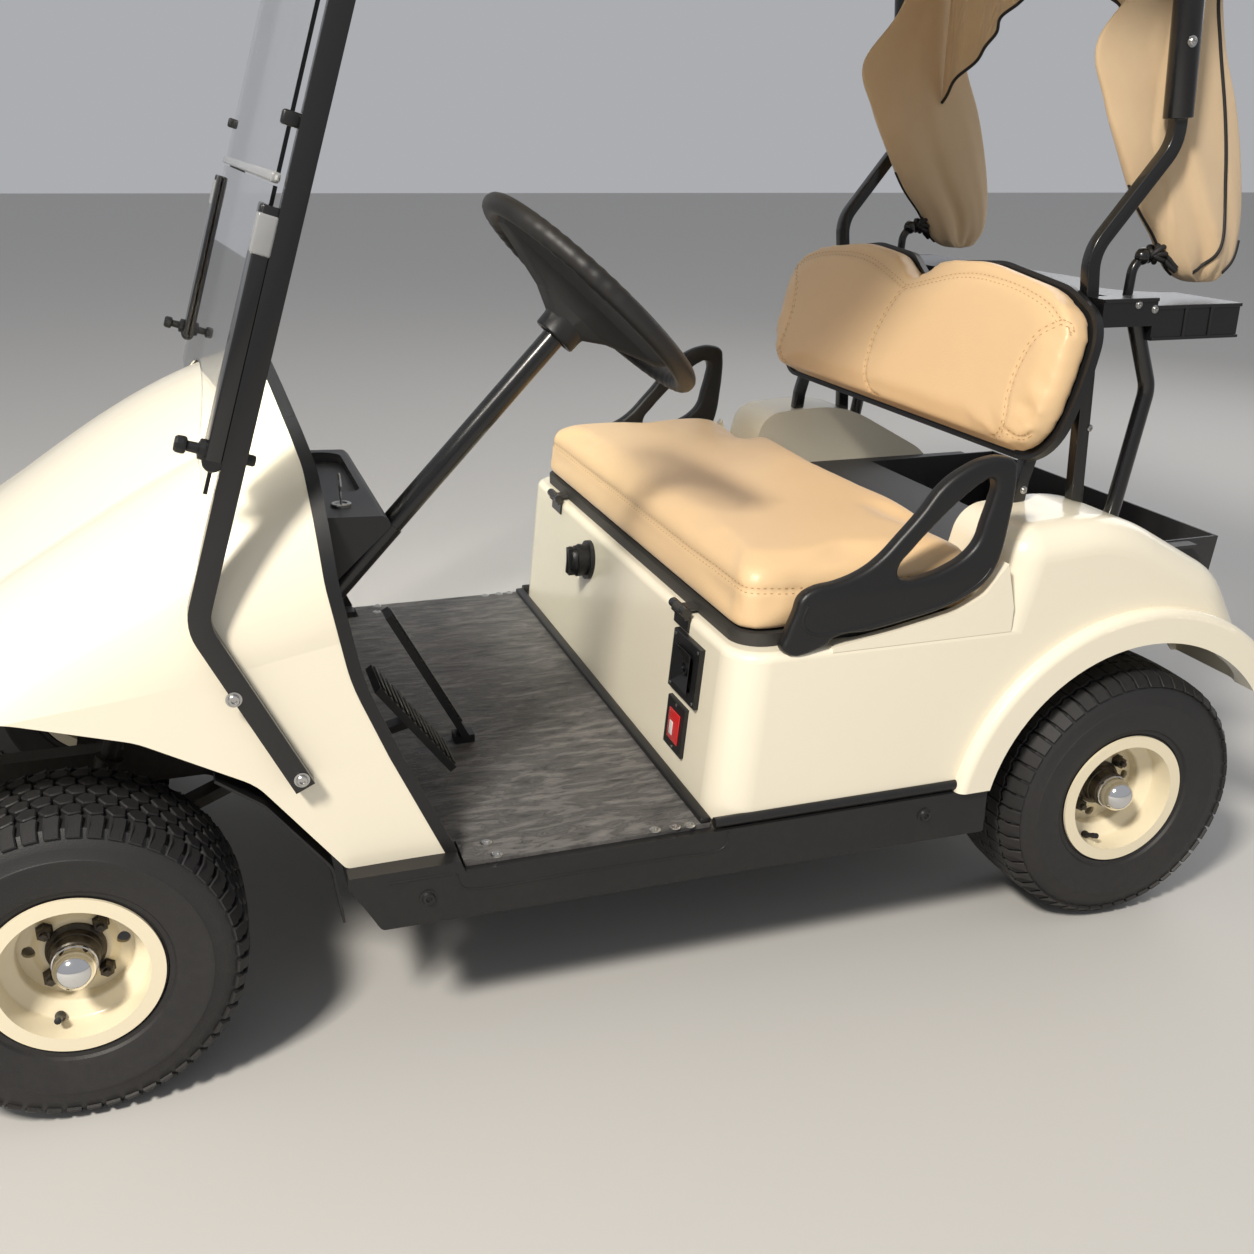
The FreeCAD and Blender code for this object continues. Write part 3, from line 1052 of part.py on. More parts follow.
# Bag rack and bag cover
RACK_Z = 1022.0
RACK_FRONT_X = -838.0
RACK_REAR_X = -1044.0
RACK_HALF_WIDTH = 470.0
COVER_Y = ROOF_HALF_WIDTH - 224.0


def bag_rack():
    """A scalloped tray on two side arms, with hooks for the cover's ends."""
    parts = [rod(Vector(RACK_FRONT_X, -RACK_HALF_WIDTH, RACK_Z), Vector(RACK_FRONT_X, RACK_HALF_WIDTH, RACK_Z), 14.0)]
    tray = [(RACK_FRONT_X - 50, -RACK_HALF_WIDTH, 20), (RACK_FRONT_X - 50, RACK_HALF_WIDTH, 20),
            (RACK_REAR_X, RACK_HALF_WIDTH, 12), (RACK_REAR_X, -RACK_HALF_WIDTH, 12)]
    table = plate(tray, "xy", RACK_Z - 16, RACK_Z + 16)
    for y in (-210.0, 210.0):
        table = table.cut(rod(Vector(RACK_REAR_X - 20, y, RACK_Z - 50), Vector(RACK_REAR_X - 20, y, RACK_Z + 50), 104.0))
    parts.append(table)
    for s in (-1, 1):
        inner = REAR_STRUT_Y + REAR_STRUT_WIDTH / 2 + PANEL_GAP
        low, high = sorted((s * inner, s * RACK_HALF_WIDTH))
        parts.append(block(-876.0, -774.0, low, high, RACK_Z - 15, RACK_Z + 28))
        parts.append(block(RACK_REAR_X + 6, -870.0, low, high, RACK_Z - 38, RACK_Z + 16))
        y = (low + high) / 2
        arm = [Vector(-851.0, y, RACK_Z), Vector(-898.0, y, 905.0), Vector(-860.0, y, FENDER_CROWN_Z - 40)]
        parts.append(tube(arm, 13.0, 60.0))
        hook = [Vector(-898.0, s * COVER_Y, RACK_Z + 8), Vector(-901.0, s * COVER_Y, 1085.0), Vector(-916.0, s * COVER_Y, 1104.0)]
        parts.append(tube(hook, 8.0, 26.0))
        parts.append(Part.makeSphere(14.0, hook[-1]))
    return fuse(parts).cut(fender_block(0.0))


COVER_TOP_Z = ROOF_UNDERSIDE - PANEL_GAP
COVER_HALF_THICKNESS = 22.0


# The curtain's outline, gathered at its foot. Columns: x, z, corner radius
COVER_SIDE = [(-984.0, COVER_TOP_Z, 0), (-925.0, COVER_TOP_Z, 0), (-852.0, 1476.0, 60), (-774.0, 1415.0, 16),
              (-804.0, 1315.0, 200), (-852.0, 1235.0, 200), (-938.0, 1125.0, 80), (-962.0, 1066.0, 14),
              (-1050.0, 1066.0, 30), (-1082.0, 1125.0, 60), (-1067.0, 1235.0, 200), (-998.0, 1415.0, 200)]


def bag_cover_side(y):
    """The bag cover's side curtain, gathered and tied to the hook."""
    return plate(COVER_SIDE, "xz", y - COVER_HALF_THICKNESS, y + COVER_HALF_THICKNESS).cut(roof())


def bag_cover_top():
    """The cover's valance, hanging below the roof's rear edge in an arch."""
    half = COVER_Y - COVER_HALF_THICKNESS - PANEL_GAP
    rows = [(-half, COVER_TOP_Z, 0), (half, COVER_TOP_Z, 0), (half, 1345.0, 0), (150.0, 1440.0, 160), (56.0, 1545.0, 60),
            (-56.0, 1545.0, 60), (-150.0, 1440.0, 160), (-half, 1345.0, 0)]
    return plate(rows, "yz", -966.0, -954.0).cut(roof())


PIECES = {
    "chassis_frame": chassis_frame,
    "front_cowl": front_cowl,
    "cowl_trim": cowl_trim,
    "dash": dash,
    "front_bumper": front_bumper,
    "floor_pan": floor_pan,
    "splash_panels": splash_panels,
    "floor_mat": floor_mat,
    "rocker_panels": rocker_panels,
    "rear_body": rear_body,
    "battery_pack": battery_pack,
    "bag_well": bag_well,
    "front_axle": front_axle,
    "rear_axle": rear_axle,
    "leaf_springs": leaf_springs,
    "shock_absorbers": shock_absorbers,
    "steering_column": steering_column,
    "steering_wheel": steering_wheel,
    "pedals": pedals,
    "kick_panel_sockets": kick_panel_sockets,
    "direction_selector": direction_selector,
    "seat_cushion": seat_cushion,
    "seat_pan": seat_pan,
    "seat_hinges": seat_hinges,
    "seat_back_pad": seat_back_pad,
    "seat_back_shell": seat_back_shell,
    "seat_back_frame": seat_back_frame,
    "hip_restraints": hip_restraints,
    "front_struts": front_struts,
    "windshield_rails": windshield_rails,
    "windshield": windshield,
    "rear_struts": rear_struts,
    "roof": roof,
    "bag_rack": bag_rack,
    "bag_cover_left": lambda: bag_cover_side(COVER_Y),
    "bag_cover_right": lambda: bag_cover_side(-COVER_Y),
    "bag_cover_top": bag_cover_top,
    "knuckle_left": knuckle,
    "knuckle_right": lambda: mirrored(knuckle()),
    "tie_rod": tie_rod,
}

for name, make in PIECES.items():
    save(name, make())

# Columns: name, axle place, distance from the middle, side
WHEELS = [("front_left", FRONT_AXLE_X, FRONT_WHEEL_Y, 1), ("front_right", FRONT_AXLE_X, FRONT_WHEEL_Y, -1),
          ("rear_left", REAR_AXLE_X, REAR_WHEEL_Y, 1), ("rear_right", REAR_AXLE_X, REAR_WHEEL_Y, -1)]
for name, x, y, outward in WHEELS:
    save("tyre_" + name, tyre(x, outward * y, outward))
    save("rim_" + name, rim(x, outward * y, outward))
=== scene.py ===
import math

import bpy
import mathutils.kdtree
from mathutils import Matrix, Vector


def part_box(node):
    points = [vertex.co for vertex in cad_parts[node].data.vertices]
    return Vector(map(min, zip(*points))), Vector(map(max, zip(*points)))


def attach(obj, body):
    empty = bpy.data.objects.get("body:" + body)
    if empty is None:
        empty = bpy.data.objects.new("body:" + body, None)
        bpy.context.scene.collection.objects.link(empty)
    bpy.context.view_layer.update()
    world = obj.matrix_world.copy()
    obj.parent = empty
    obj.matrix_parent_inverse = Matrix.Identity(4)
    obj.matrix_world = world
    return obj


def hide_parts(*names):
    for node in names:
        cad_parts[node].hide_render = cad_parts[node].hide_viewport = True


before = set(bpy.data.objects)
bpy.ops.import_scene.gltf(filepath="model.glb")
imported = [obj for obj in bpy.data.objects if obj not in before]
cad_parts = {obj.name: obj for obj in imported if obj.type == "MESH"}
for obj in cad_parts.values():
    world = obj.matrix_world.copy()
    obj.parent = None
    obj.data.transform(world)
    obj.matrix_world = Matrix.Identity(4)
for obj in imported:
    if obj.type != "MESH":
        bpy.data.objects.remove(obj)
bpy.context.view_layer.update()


# Camera: it stands off the driver's side, ahead of the seat, at standing height, where the
# photograph was taken from, and looks down at the floor of the cart.
CAMERA_PLACE = Vector((0.5939, 2.1882, 1.2749))
CAMERA_YAW = math.radians(-109.103)
CAMERA_PITCH = math.radians(-20.484)
CAMERA_ROLL = math.radians(0.735)
CAMERA_LENS = 37.589
forward = Vector((math.cos(CAMERA_YAW) * math.cos(CAMERA_PITCH),
                  math.sin(CAMERA_YAW) * math.cos(CAMERA_PITCH), math.sin(CAMERA_PITCH)))
level = forward.cross(Vector((0, 0, 1))).normalized()
upward = level.cross(forward)
camera_side = level * math.cos(CAMERA_ROLL) + upward * math.sin(CAMERA_ROLL)
camera_top = upward * math.cos(CAMERA_ROLL) - level * math.sin(CAMERA_ROLL)
bpy.ops.object.camera_add()
camera = bpy.context.object
camera.name = "camera"
camera.data.lens = CAMERA_LENS
camera.matrix_world = Matrix((
    (camera_side.x, camera_top.x, -forward.x, CAMERA_PLACE.x),
    (camera_side.y, camera_top.y, -forward.y, CAMERA_PLACE.y),
    (camera_side.z, camera_top.z, -forward.z, CAMERA_PLACE.z),
    (0, 0, 0, 1)))
bpy.context.scene.camera = camera


# Studio: a plain pale floor, a warm key light like a low sun from behind the driver's side, and a
# soft pale sky all round.
FLOOR_COLOUR = (0.52, 0.51, 0.49)
FLOOR_SIZE = 60
SKY_COLOUR = (0.93, 0.95, 1.0)
SKY_STRENGTH = 0.44
KEY_PLACE = Vector((3.2, 3.4, 5.0))
KEY_SIZE = 0.9
KEY_ENERGY = 460.0
KEY_COLOUR = (1.0, 0.94, 0.85)
FILL_PLACE = Vector((-4.5, -2.5, 3.6))
FILL_SIZE = 4.0
FILL_ENERGY = 70
FILL_COLOUR = (1, 1, 1)
LIGHT_TARGET = Vector((0, 0, 0.7))


def area_light(place, size, energy, colour):
    """A square soft box that points at the cart."""
    bpy.ops.object.light_add(type="AREA", location=place)
    light = bpy.context.object
    light.data.size = size
    light.data.energy = energy
    light.data.color = colour
    light.rotation_euler = (LIGHT_TARGET - place).to_track_quat("-Z", "Y").to_euler()


bpy.ops.mesh.primitive_plane_add(size=FLOOR_SIZE)
studio_floor = bpy.context.object
studio_floor.name = "studio_floor"
floor_paint = bpy.data.materials.new("studio_floor")
floor_paint.use_nodes = True
floor_shader = floor_paint.node_tree.nodes["Principled BSDF"]
floor_shader.inputs["Base Color"].default_value = (*FLOOR_COLOUR, 1)
floor_shader.inputs["Roughness"].default_value = 0.8
studio_floor.data.materials.append(floor_paint)
world = bpy.data.worlds.new("studio")
bpy.context.scene.world = world
world.use_nodes = True
world.node_tree.nodes["Background"].inputs["Color"].default_value = (*SKY_COLOUR, 1)
world.node_tree.nodes["Background"].inputs["Strength"].default_value = SKY_STRENGTH
area_light(KEY_PLACE, KEY_SIZE, KEY_ENERGY, KEY_COLOUR)
area_light(FILL_PLACE, FILL_SIZE, FILL_ENERGY, FILL_COLOUR)
bpy.context.scene.view_settings.view_transform = "Standard"


# Body mouldings: hood, seat box, fenders and roof are thick glossy plastic in warm ivory. A little
# unevenness shows in the gloss, and road dust gathers low down.
IVORY = (0.88, 0.815, 0.655)
ROAD_DUST = (0.42, 0.33, 0.22)
DUST_TOP = 0.52


def shader_group(name, inputs, outputs):
    """An empty node group with named inputs and outputs: each is a name and a socket type."""
    group = bpy.data.node_groups.new(name, "ShaderNodeTree")
    for direction, sockets in (("INPUT", inputs), ("OUTPUT", outputs)):
        for label, kind in sockets:
            group.interface.new_socket(name=label, in_out=direction, socket_type="NodeSocket" + kind)
    return group, group.nodes.new("NodeGroupInput").outputs, group.nodes.new("NodeGroupOutput").inputs


def feed(tree, target, **inputs):
    """Set or link a node's inputs, by name or by place: i0 is the first."""
    for label, value in inputs.items():
        place = int(label[1:]) if label[0] == "i" and label[1:].isdigit() else label.replace("_", " ")
        if isinstance(value, bpy.types.NodeSocket):
            tree.links.new(value, target.inputs[place])
        else:
            target.inputs[place].default_value = value


def node(tree, kind, settings=(), **inputs):
    """Add a shader node, set its options and its inputs, and give its sockets back."""
    made = tree.nodes.new("ShaderNode" + kind)
    for key, value in dict(settings).items():
        setattr(made, key, value)
    feed(tree, made, **inputs)
    return made.outputs


def maths(tree, operation, *values, clamp=False):
    """The result of a math node."""
    places = {"i" + str(place): value for place, value in enumerate(values)}
    return node(tree, "Math", {"operation": operation, "use_clamp": clamp}, **places)[0]


def between(tree, share, first, second):
    """A colour between two, by a share."""
    first, second = [(*tint, 1) if isinstance(tint, tuple) else tint for tint in (first, second)]
    return node(tree, "Mix", {"data_type": "RGBA"}, i0=share, i6=first, i7=second)[2]


def build_soiling_group():
    """Dust that lies on low surfaces in uneven patches: gives the colour and the roughness."""
    group, given, result = shader_group(
        "soiling", [("Vector", "Vector"), ("Clean", "Color"), ("Dust", "Color"), ("Amount", "Float"),
                    ("Top", "Float"), ("Roughness", "Float")], [("Color", "Color"), ("Roughness", "Float")])
    height = node(group, "SeparateXYZ", i0=given["Vector"])[2]
    low = maths(group, "SUBTRACT", given["Top"], height, clamp=True)
    patches = node(group, "TexNoise", Vector=given["Vector"], Scale=9.0, Detail=6.0, Roughness=0.65)[0]
    spots = node(group, "TexNoise", Vector=given["Vector"], Scale=85.0, Detail=3.0)[0]
    fine = maths(group, "MULTIPLY", patches, spots)
    spread = maths(group, "MULTIPLY_ADD", low, fine, maths(group, "MULTIPLY", fine, 0.10), clamp=True)
    share = maths(group, "MULTIPLY", spread, given["Amount"], clamp=True)
    dull = maths(group, "MULTIPLY_ADD", share, 0.5, given["Roughness"], clamp=True)
    group.links.new(between(group, share, given["Clean"], given["Dust"]), result["Color"])
    group.links.new(dull, result["Roughness"])
    return group


def build_grain_group():
    """Fine leather-like cells over larger soft waves: gives a height."""
    group, given, result = shader_group(
        "grain", [("Vector", "Vector"), ("Scale", "Float"), ("Waviness", "Float")], [("Height", "Float")])
    cells = node(group, "TexVoronoi", {"feature": "SMOOTH_F1"}, Vector=given["Vector"],
                 Scale=given["Scale"])[0]
    waves = node(group, "TexNoise", Vector=given["Vector"], Scale=14.0, Detail=4.0)[0]
    wide = maths(group, "MULTIPLY", waves, given["Waviness"])
    group.links.new(maths(group, "ADD", cells, wide), result["Height"])
    return group


soiling = build_soiling_group()
grain = build_grain_group()


def new_material(name):
    """A plain material, with its node tree, its shader and the place on the piece."""
    material = bpy.data.materials.new(name)
    material.use_nodes = True
    tree = material.node_tree
    return material, tree, tree.nodes["Principled BSDF"], node(tree, "TexCoord")["Object"]


def finish_material(name, colour, roughness, grained=None, dust=0.0, dust_top=DUST_TOP, mottle=0.06,
                    **constants):
    """A finish with soiling and a slight mottle. If grained, it has a relief: scale, depth, waviness."""
    material, tree, shader, place = new_material(name)
    blotches = node(tree, "TexNoise", Vector=place, Scale=5.0, Detail=5.0)[0]
    darker = tuple(c * (1 - mottle) for c in colour)
    clean = between(tree, blotches, colour, darker)
    dirty = node(tree, "Group", {"node_tree": soiling}, Vector=place, Clean=clean, Dust=(*ROAD_DUST, 1),
                 Amount=dust, Top=dust_top, Roughness=roughness)
    feed(tree, shader, Base_Color=dirty["Color"], Roughness=dirty["Roughness"], **constants)
    if grained:
        scale, depth, waviness = grained
        relief = node(tree, "Group", {"node_tree": grain}, Vector=place, Scale=scale,
                      Waviness=waviness)["Height"]
        feed(tree, shader, Normal=node(tree, "Bump", Height=relief, Strength=1.0, Distance=depth)[0])
    return material


def paint(material, *pieces):
    for piece in pieces:
        piece.data.materials.clear()
        piece.data.materials.append(material)


def coat(material, *names):
    """Give a finish to CAD nodes."""
    paint(material, *[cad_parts[name] for name in names])


ivory = finish_material("ivory_body", IVORY, 0.26, (30.0, 0.00012, 2.0), dust=0.12, mottle=0.02,
                        Coat_Weight=0.45, Coat_Roughness=0.06, Specular_IOR_Level=0.5)
coat(ivory, "front_cowl", "rear_body", "roof")


# Chassis: the welded frame, axles, springs, dampers and knuckles are steel, sprayed black and dusty.
# The tie rod is plated, and the gear case with its motor is cast and painted grey.
chassis_coat = finish_material("chassis_black", (0.022, 0.021, 0.020), 0.5, (260.0, 0.0002, 1.2), dust=0.55,
                               dust_top=0.55, mottle=0.3)
coat(chassis_coat, "chassis_frame", "front_axle", "leaf_springs", "shock_absorbers", "knuckle_left",
     "knuckle_right")
plated = finish_material("bare_steel", (0.52, 0.50, 0.47), 0.34, (180.0, 0.00008, 0.6), dust=0.9, mottle=0.25,
                         Metallic=1.0)
coat(plated, "tie_rod")
cast_metal = finish_material("cast_case", (0.10, 0.10, 0.10), 0.5, (320.0, 0.0005, 0.8), dust=1.3, mottle=0.3,
                             Metallic=0.4)
coat(cast_metal, "rear_axle")


# Black mouldings: dash, trims, sills and back shell are grained plastic that has greyed a little,
# with dust on the sills. The bag well and the floor pan are a duller grey.
BLACK = (0.011, 0.0115, 0.013)
DARK_GREY = (0.030, 0.031, 0.034)
moulded_black = finish_material("black_plastic", BLACK, 0.40, (900.0, 0.00012, 0.4), dust=0.10, mottle=0.25,
                                Specular_IOR_Level=0.42)
coat(moulded_black, "cowl_trim", "dash", "front_bumper", "splash_panels", "rocker_panels",
     "kick_panel_sockets", "direction_selector", "hip_restraints", "seat_back_shell", "pedals")
moulded_grey = finish_material("grey_plastic", DARK_GREY, 0.52, (700.0, 0.00015, 0.5), dust=0.18,
                               dust_top=0.75, mottle=0.25)
coat(moulded_grey, "bag_well", "floor_pan")


# Seat cushion: a foam slab under stretched tan vinyl, stapled to the pan below it. A double-stitched
# seam joins the crowned top to the boxing that runs round its sides.
SEAT_TAN = (0.80, 0.56, 0.315)
THREAD_TAN = (0.52, 0.32, 0.14)
CUSHION_VOXEL = 0.009
CUSHION_CAP = 0.011
CUSHION_SHRINK = 0.988
CUSHION_HELD = 0.022
PRESSURE = 4.0
COVER_STIFFNESS = 60.0
COVER_BENDING = 12.0
SMOOTHING = 9
SIM_FRAMES = 20
SEAM_HEIGHT = 0.655
STITCH_LENGTH = 0.0042
STITCH_GAP = 0.0022
STITCH_RADIUS = 0.0006
STITCH_SINK = 0.2
STITCH_OFFSET = 0.0038
SEAM_DEPTH = 0.0032
SEAM_REACH = 0.011


def only(piece):
    """Select one piece and make it the active one."""
    bpy.ops.object.select_all(action="DESELECT")
    piece.select_set(True)
    bpy.context.view_layer.objects.active = piece


def new_piece(name, mesh):
    piece = bpy.data.objects.new(name, mesh)
    bpy.context.collection.objects.link(piece)
    return piece


def hang(piece, name, body, material, stands_for=()):
    """Put a finished piece's place in its mesh, name it, paint it and fix it to its body."""
    only(piece)
    bpy.ops.object.transform_apply(location=True, rotation=True, scale=True)
    piece.name = name
    paint(material, piece)
    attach(piece, body)
    if stands_for:
        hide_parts(*stands_for)
    return piece


def weld(piece, distance):
    """Merge a mesh's points that meet and turn its faces outwards."""
    only(piece)
    bpy.ops.object.mode_set(mode="EDIT")
    bpy.ops.mesh.select_all(action="SELECT")
    bpy.ops.mesh.remove_doubles(threshold=distance)
    bpy.ops.mesh.normals_make_consistent(inside=False)
    bpy.ops.object.mode_set(mode="OBJECT")


def node_copy(name):
    """A welded copy of a CAD node's mesh, to be reshaped."""
    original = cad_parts[name]
    piece = new_piece(name + "_copy", original.data.copy())
    piece.data.transform(original.matrix_world)
    only(piece)
    bpy.ops.mesh.customdata_custom_splitnormals_clear()
    weld(piece, 0.00005)
    return piece


def smaller(piece, share):
    """Shrink a mesh about its own middle."""
    middle = sum((vertex.co for vertex in piece.data.vertices), Vector()) / len(piece.data.vertices)
    for vertex in piece.data.vertices:
        vertex.co = middle + (vertex.co - middle) * share


def apply_modifier(piece, kind, **settings):
    only(piece)
    modifier = piece.modifiers.new(kind.lower(), kind)
    for key, value in settings.items():
        setattr(modifier, key, value)
    bpy.ops.object.modifier_apply(modifier=modifier.name)


def puff_up(piece, voxel, cap, held):
    """Fill a pad like a stuffed cover: cloth under pressure, with the points that a test holds pinned."""
    apply_modifier(piece, "REMESH", mode="VOXEL", voxel_size=voxel)
    rest = [vertex.co.copy() for vertex in piece.data.vertices]
    pinned = piece.vertex_groups.new(name="held")
    pinned.add([i for i, place in enumerate(rest) if held(place)], 1.0, "REPLACE")
    cloth = piece.modifiers.new("cloth", "CLOTH")
    cloth.settings.use_pressure = True
    cloth.settings.uniform_pressure_force = PRESSURE
    cloth.settings.tension_stiffness = COVER_STIFFNESS
    cloth.settings.compression_stiffness = COVER_STIFFNESS
    cloth.settings.shear_stiffness = COVER_STIFFNESS
    cloth.settings.bending_stiffness = COVER_BENDING
    cloth.settings.effector_weights.gravity = 0.0
    cloth.settings.vertex_group_mass = "held"
    cloth.point_cache.frame_end = SIM_FRAMES
    for step in range(1, SIM_FRAMES + 1):
        bpy.context.scene.frame_set(step)
    bpy.ops.object.modifier_apply(modifier="cloth")
    bpy.context.scene.frame_set(1)
    piece.vertex_groups.clear()
    for vertex, start in zip(piece.data.vertices, rest):
        moved = vertex.co - start
        if moved.length > cap:
            vertex.co = start + moved.normalized() * cap
    apply_modifier(piece, "SMOOTH", factor=0.5, iterations=SMOOTHING)


def soft_spline(curve, points, closed):
    """Add a smooth line through points to a curve."""
    spline = curve.splines.new("BEZIER")
    spline.bezier_points.add(len(points) - 1)
    spline.use_cyclic_u = closed
    for knot, point in zip(spline.bezier_points, points):
        knot.co = point
        knot.handle_left_type = "AUTO"
        knot.handle_right_type = "AUTO"


def mesh_of(curve):
    """The mesh that a curve makes."""
    made = bpy.data.objects.new("made", curve)
    mesh = bpy.data.meshes.new_from_object(made)
    bpy.data.objects.remove(made)
    return mesh


def smooth_line(points, step, closed=False):
    """Places one step apart along a smooth line through given points."""
    curve = bpy.data.curves.new("guide", "CURVE")
    curve.dimensions = "3D"
    curve.resolution_u = 32
    soft_spline(curve, points, closed)
    traced = [vertex.co.copy() for vertex in mesh_of(curve).vertices]
    if closed:
        traced.append(traced[0])
    places = [traced[0]]
    left = step
    for here, there in zip(traced, traced[1:]):
        run = (there - here).length
        while run >= left and run > 0:
            here = here + (there - here) * (left / run)
            places.append(here)
            run = (there - here).length
            left = step
        left -= run
    return places


def thread(name, lines, radius, sides=2, closed=False):
    """Round threads or bars along lines of points, as one mesh."""
    curve = bpy.data.curves.new(name, "CURVE")
    curve.dimensions = "3D"
    curve.bevel_depth = radius
    curve.bevel_resolution = sides
    curve.use_fill_caps = True
    for line in lines:
        spline = curve.splines.new("POLY")
        spline.points.add(len(line) - 1)
        spline.use_cyclic_u = closed
        for knot, place in zip(spline.points, line):
            knot.co = (*place, 1)
    return new_piece(name, mesh_of(curve))


def sew(pad, name, lines, body, material):
    """Draw seams in a pad: its cover dips along each line, and stitches lie on both sides."""
    laid = []
    for line in lines:
        on_pad = [pad.closest_point_on_mesh(place) for place in line]
        laid.append([(hit[1].copy(), hit[2].copy()) for hit in on_pad])
    tree = mathutils.kdtree.KDTree(sum(len(line) for line in laid))
    for index, spot in enumerate(spot for line in laid for spot in line):
        tree.insert(spot[0], index)
    tree.balance()
    normals = [vertex.normal.copy() for vertex in pad.data.vertices]
    for vertex, normal in zip(pad.data.vertices, normals):
        distance = tree.find(vertex.co)[2]
        if distance < SEAM_REACH:
            vertex.co -= normal * SEAM_DEPTH * (1 - distance / SEAM_REACH) ** 2
    pad.data.update()
    stitches = []
    for line in laid:
        for row in (-1, 1):
            for i in range(0, len(line) - 1, 2):
                place, normal = line[i]
                along = (line[i + 1][0] - place).normalized()
                start = place + normal.cross(along) * STITCH_OFFSET * row
                stitch = []
                for far, lift in ((0, STITCH_SINK), (0.5, 1), (1, STITCH_SINK)):
                    spot, facing = pad.closest_point_on_mesh(start + along * STITCH_LENGTH * far)[1:3]
                    stitch.append(spot + facing * STITCH_RADIUS * lift)
                stitches.append(stitch)
    sewn = hang(thread(name, stitches, STITCH_RADIUS, 1), name, body, material)
    sewn.data.shade_smooth()


pan_black = finish_material("pan_board", (0.035, 0.034, 0.033), 0.55, (500.0, 0.0002, 0.5), dust=0.3,
                            dust_top=0.7, mottle=0.3)
coat(pan_black, "seat_pan")
seat_tan = finish_material("seat_vinyl", SEAT_TAN, 0.40, (520.0, 0.0002, 1.6), mottle=0.07, Sheen_Weight=0.15,
                           Sheen_Roughness=0.4)
coat(seat_tan, "seat_cushion", "seat_back_pad")
stitch_tan = finish_material("stitch_thread", THREAD_TAN, 0.6)
cushion_low, cushion_high = (Vector(corner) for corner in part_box("seat_cushion"))
cushion = node_copy("seat_cushion")
smaller(cushion, CUSHION_SHRINK)
puff_up(cushion, CUSHION_VOXEL, CUSHION_CAP, lambda place: place.z < cushion_low.z + CUSHION_HELD)
for vertex in cushion.data.vertices:
    vertex.co.z = max(vertex.co.z, cushion_low.z)
apply_modifier(cushion, "SUBSURF", levels=1, render_levels=1)
hang(cushion, "cushion_cover", "seat", seat_tan, ["seat_cushion"])
cushion.data.shade_smooth()
front, half = cushion_high.x, cushion_high.y
seam_route = [(front, 0), (front, half - 0.15), (front - 0.016, half - 0.016), (front - 0.15, half),
              (-0.40, half), (-0.52, half - 0.006), (-0.554, half - 0.05), (-0.556, 0.40), (-0.597, 0.30),
              (-0.597, 0)]
seam_route += [(x, -y) for x, y in seam_route[-2:0:-1]]
seam_places = [Vector((x, y, SEAM_HEIGHT)) for x, y in seam_route]
seam_line = smooth_line(seam_places, STITCH_LENGTH + STITCH_GAP, True)
sew(cushion, "cushion_stitches", [seam_line], "seat", stitch_tan)


# Seat back: two padded lobes of the same vinyl in a moulded black shell. Double-stitched seams cross
# the lobes and run down beside the middle and both ends, where the panels of the cover meet.
BACK_VOXEL = 0.0075
BACK_CAP = 0.009
BACK_SHRINK = 0.985
BACK_HELD = -0.036
BACK_LEAN = math.radians(15.4)
BACK_FOOT = Vector((-0.646, 0, 0.812))
# Seams on the pad's front. Columns: across, up along the lean
BACK_SEAMS = {
    "top": [(0.547, 0.218), (0.505, 0.219), (0.465, 0.214), (0.430, 0.230), (0.369, 0.245), (0.279, 0.256),
            (0.173, 0.256), (0.086, 0.239), (0.0, 0.216)],
    "end": [(0.465, 0.214), (0.429, 0.187), (0.410, 0.139), (0.408, 0.094), (0.417, 0.038), (0.384, 0.004)],
    "corner": [(0.417, 0.038), (0.460, 0.022), (0.508, 0.015)],
    "middle": [(0.0, 0.216), (-0.035, 0.160), (-0.049, 0.090), (-0.025, 0.022), (0.012, 0.001)],
}


def on_seat_back(across, up):
    """A place on the seat back's leaning front plane."""
    return BACK_FOOT + Vector((-math.sin(BACK_LEAN) * up, across, math.cos(BACK_LEAN) * up))


back_pad = node_copy("seat_back_pad")
smaller(back_pad, BACK_SHRINK)
back_facing = Vector((math.cos(BACK_LEAN), 0, math.sin(BACK_LEAN)))
puff_up(back_pad, BACK_VOXEL, BACK_CAP, lambda place: (place - BACK_FOOT).dot(back_facing) < BACK_HELD)
apply_modifier(back_pad, "SUBSURF", levels=1, render_levels=1)
hang(back_pad, "seat_back_cover", "body", seat_tan, ["seat_back_pad"])
back_pad.data.shade_smooth()
back_lines = []
for label, points in BACK_SEAMS.items():
    for side in ((1,) if label == "middle" else (1, -1)):
        places = [on_seat_back(side * across, up) for across, up in points]
        back_lines.append(smooth_line(places, STITCH_LENGTH + STITCH_GAP))
sew(back_pad, "seat_back_stitches", back_lines, "body", stitch_tan)


# Tyres: black rubber on a ribbed carcass. The front pair has rows of rounded interlocking lumps
# between slotted shoulders, the rear pair has wavy ribs cut by fine slits.
TYRE_RADIUS = 0.2285
TREAD_DEPTH = 0.0085
TREAD_PITCHES = 52
TREAD_PITCH = math.tau * TYRE_RADIUS / TREAD_PITCHES
CARCASS_STEPS = 96
CROWN_HALF = 0.076
CROWN_DROP = 0.0035
SHOULDER_BEND = 0.030
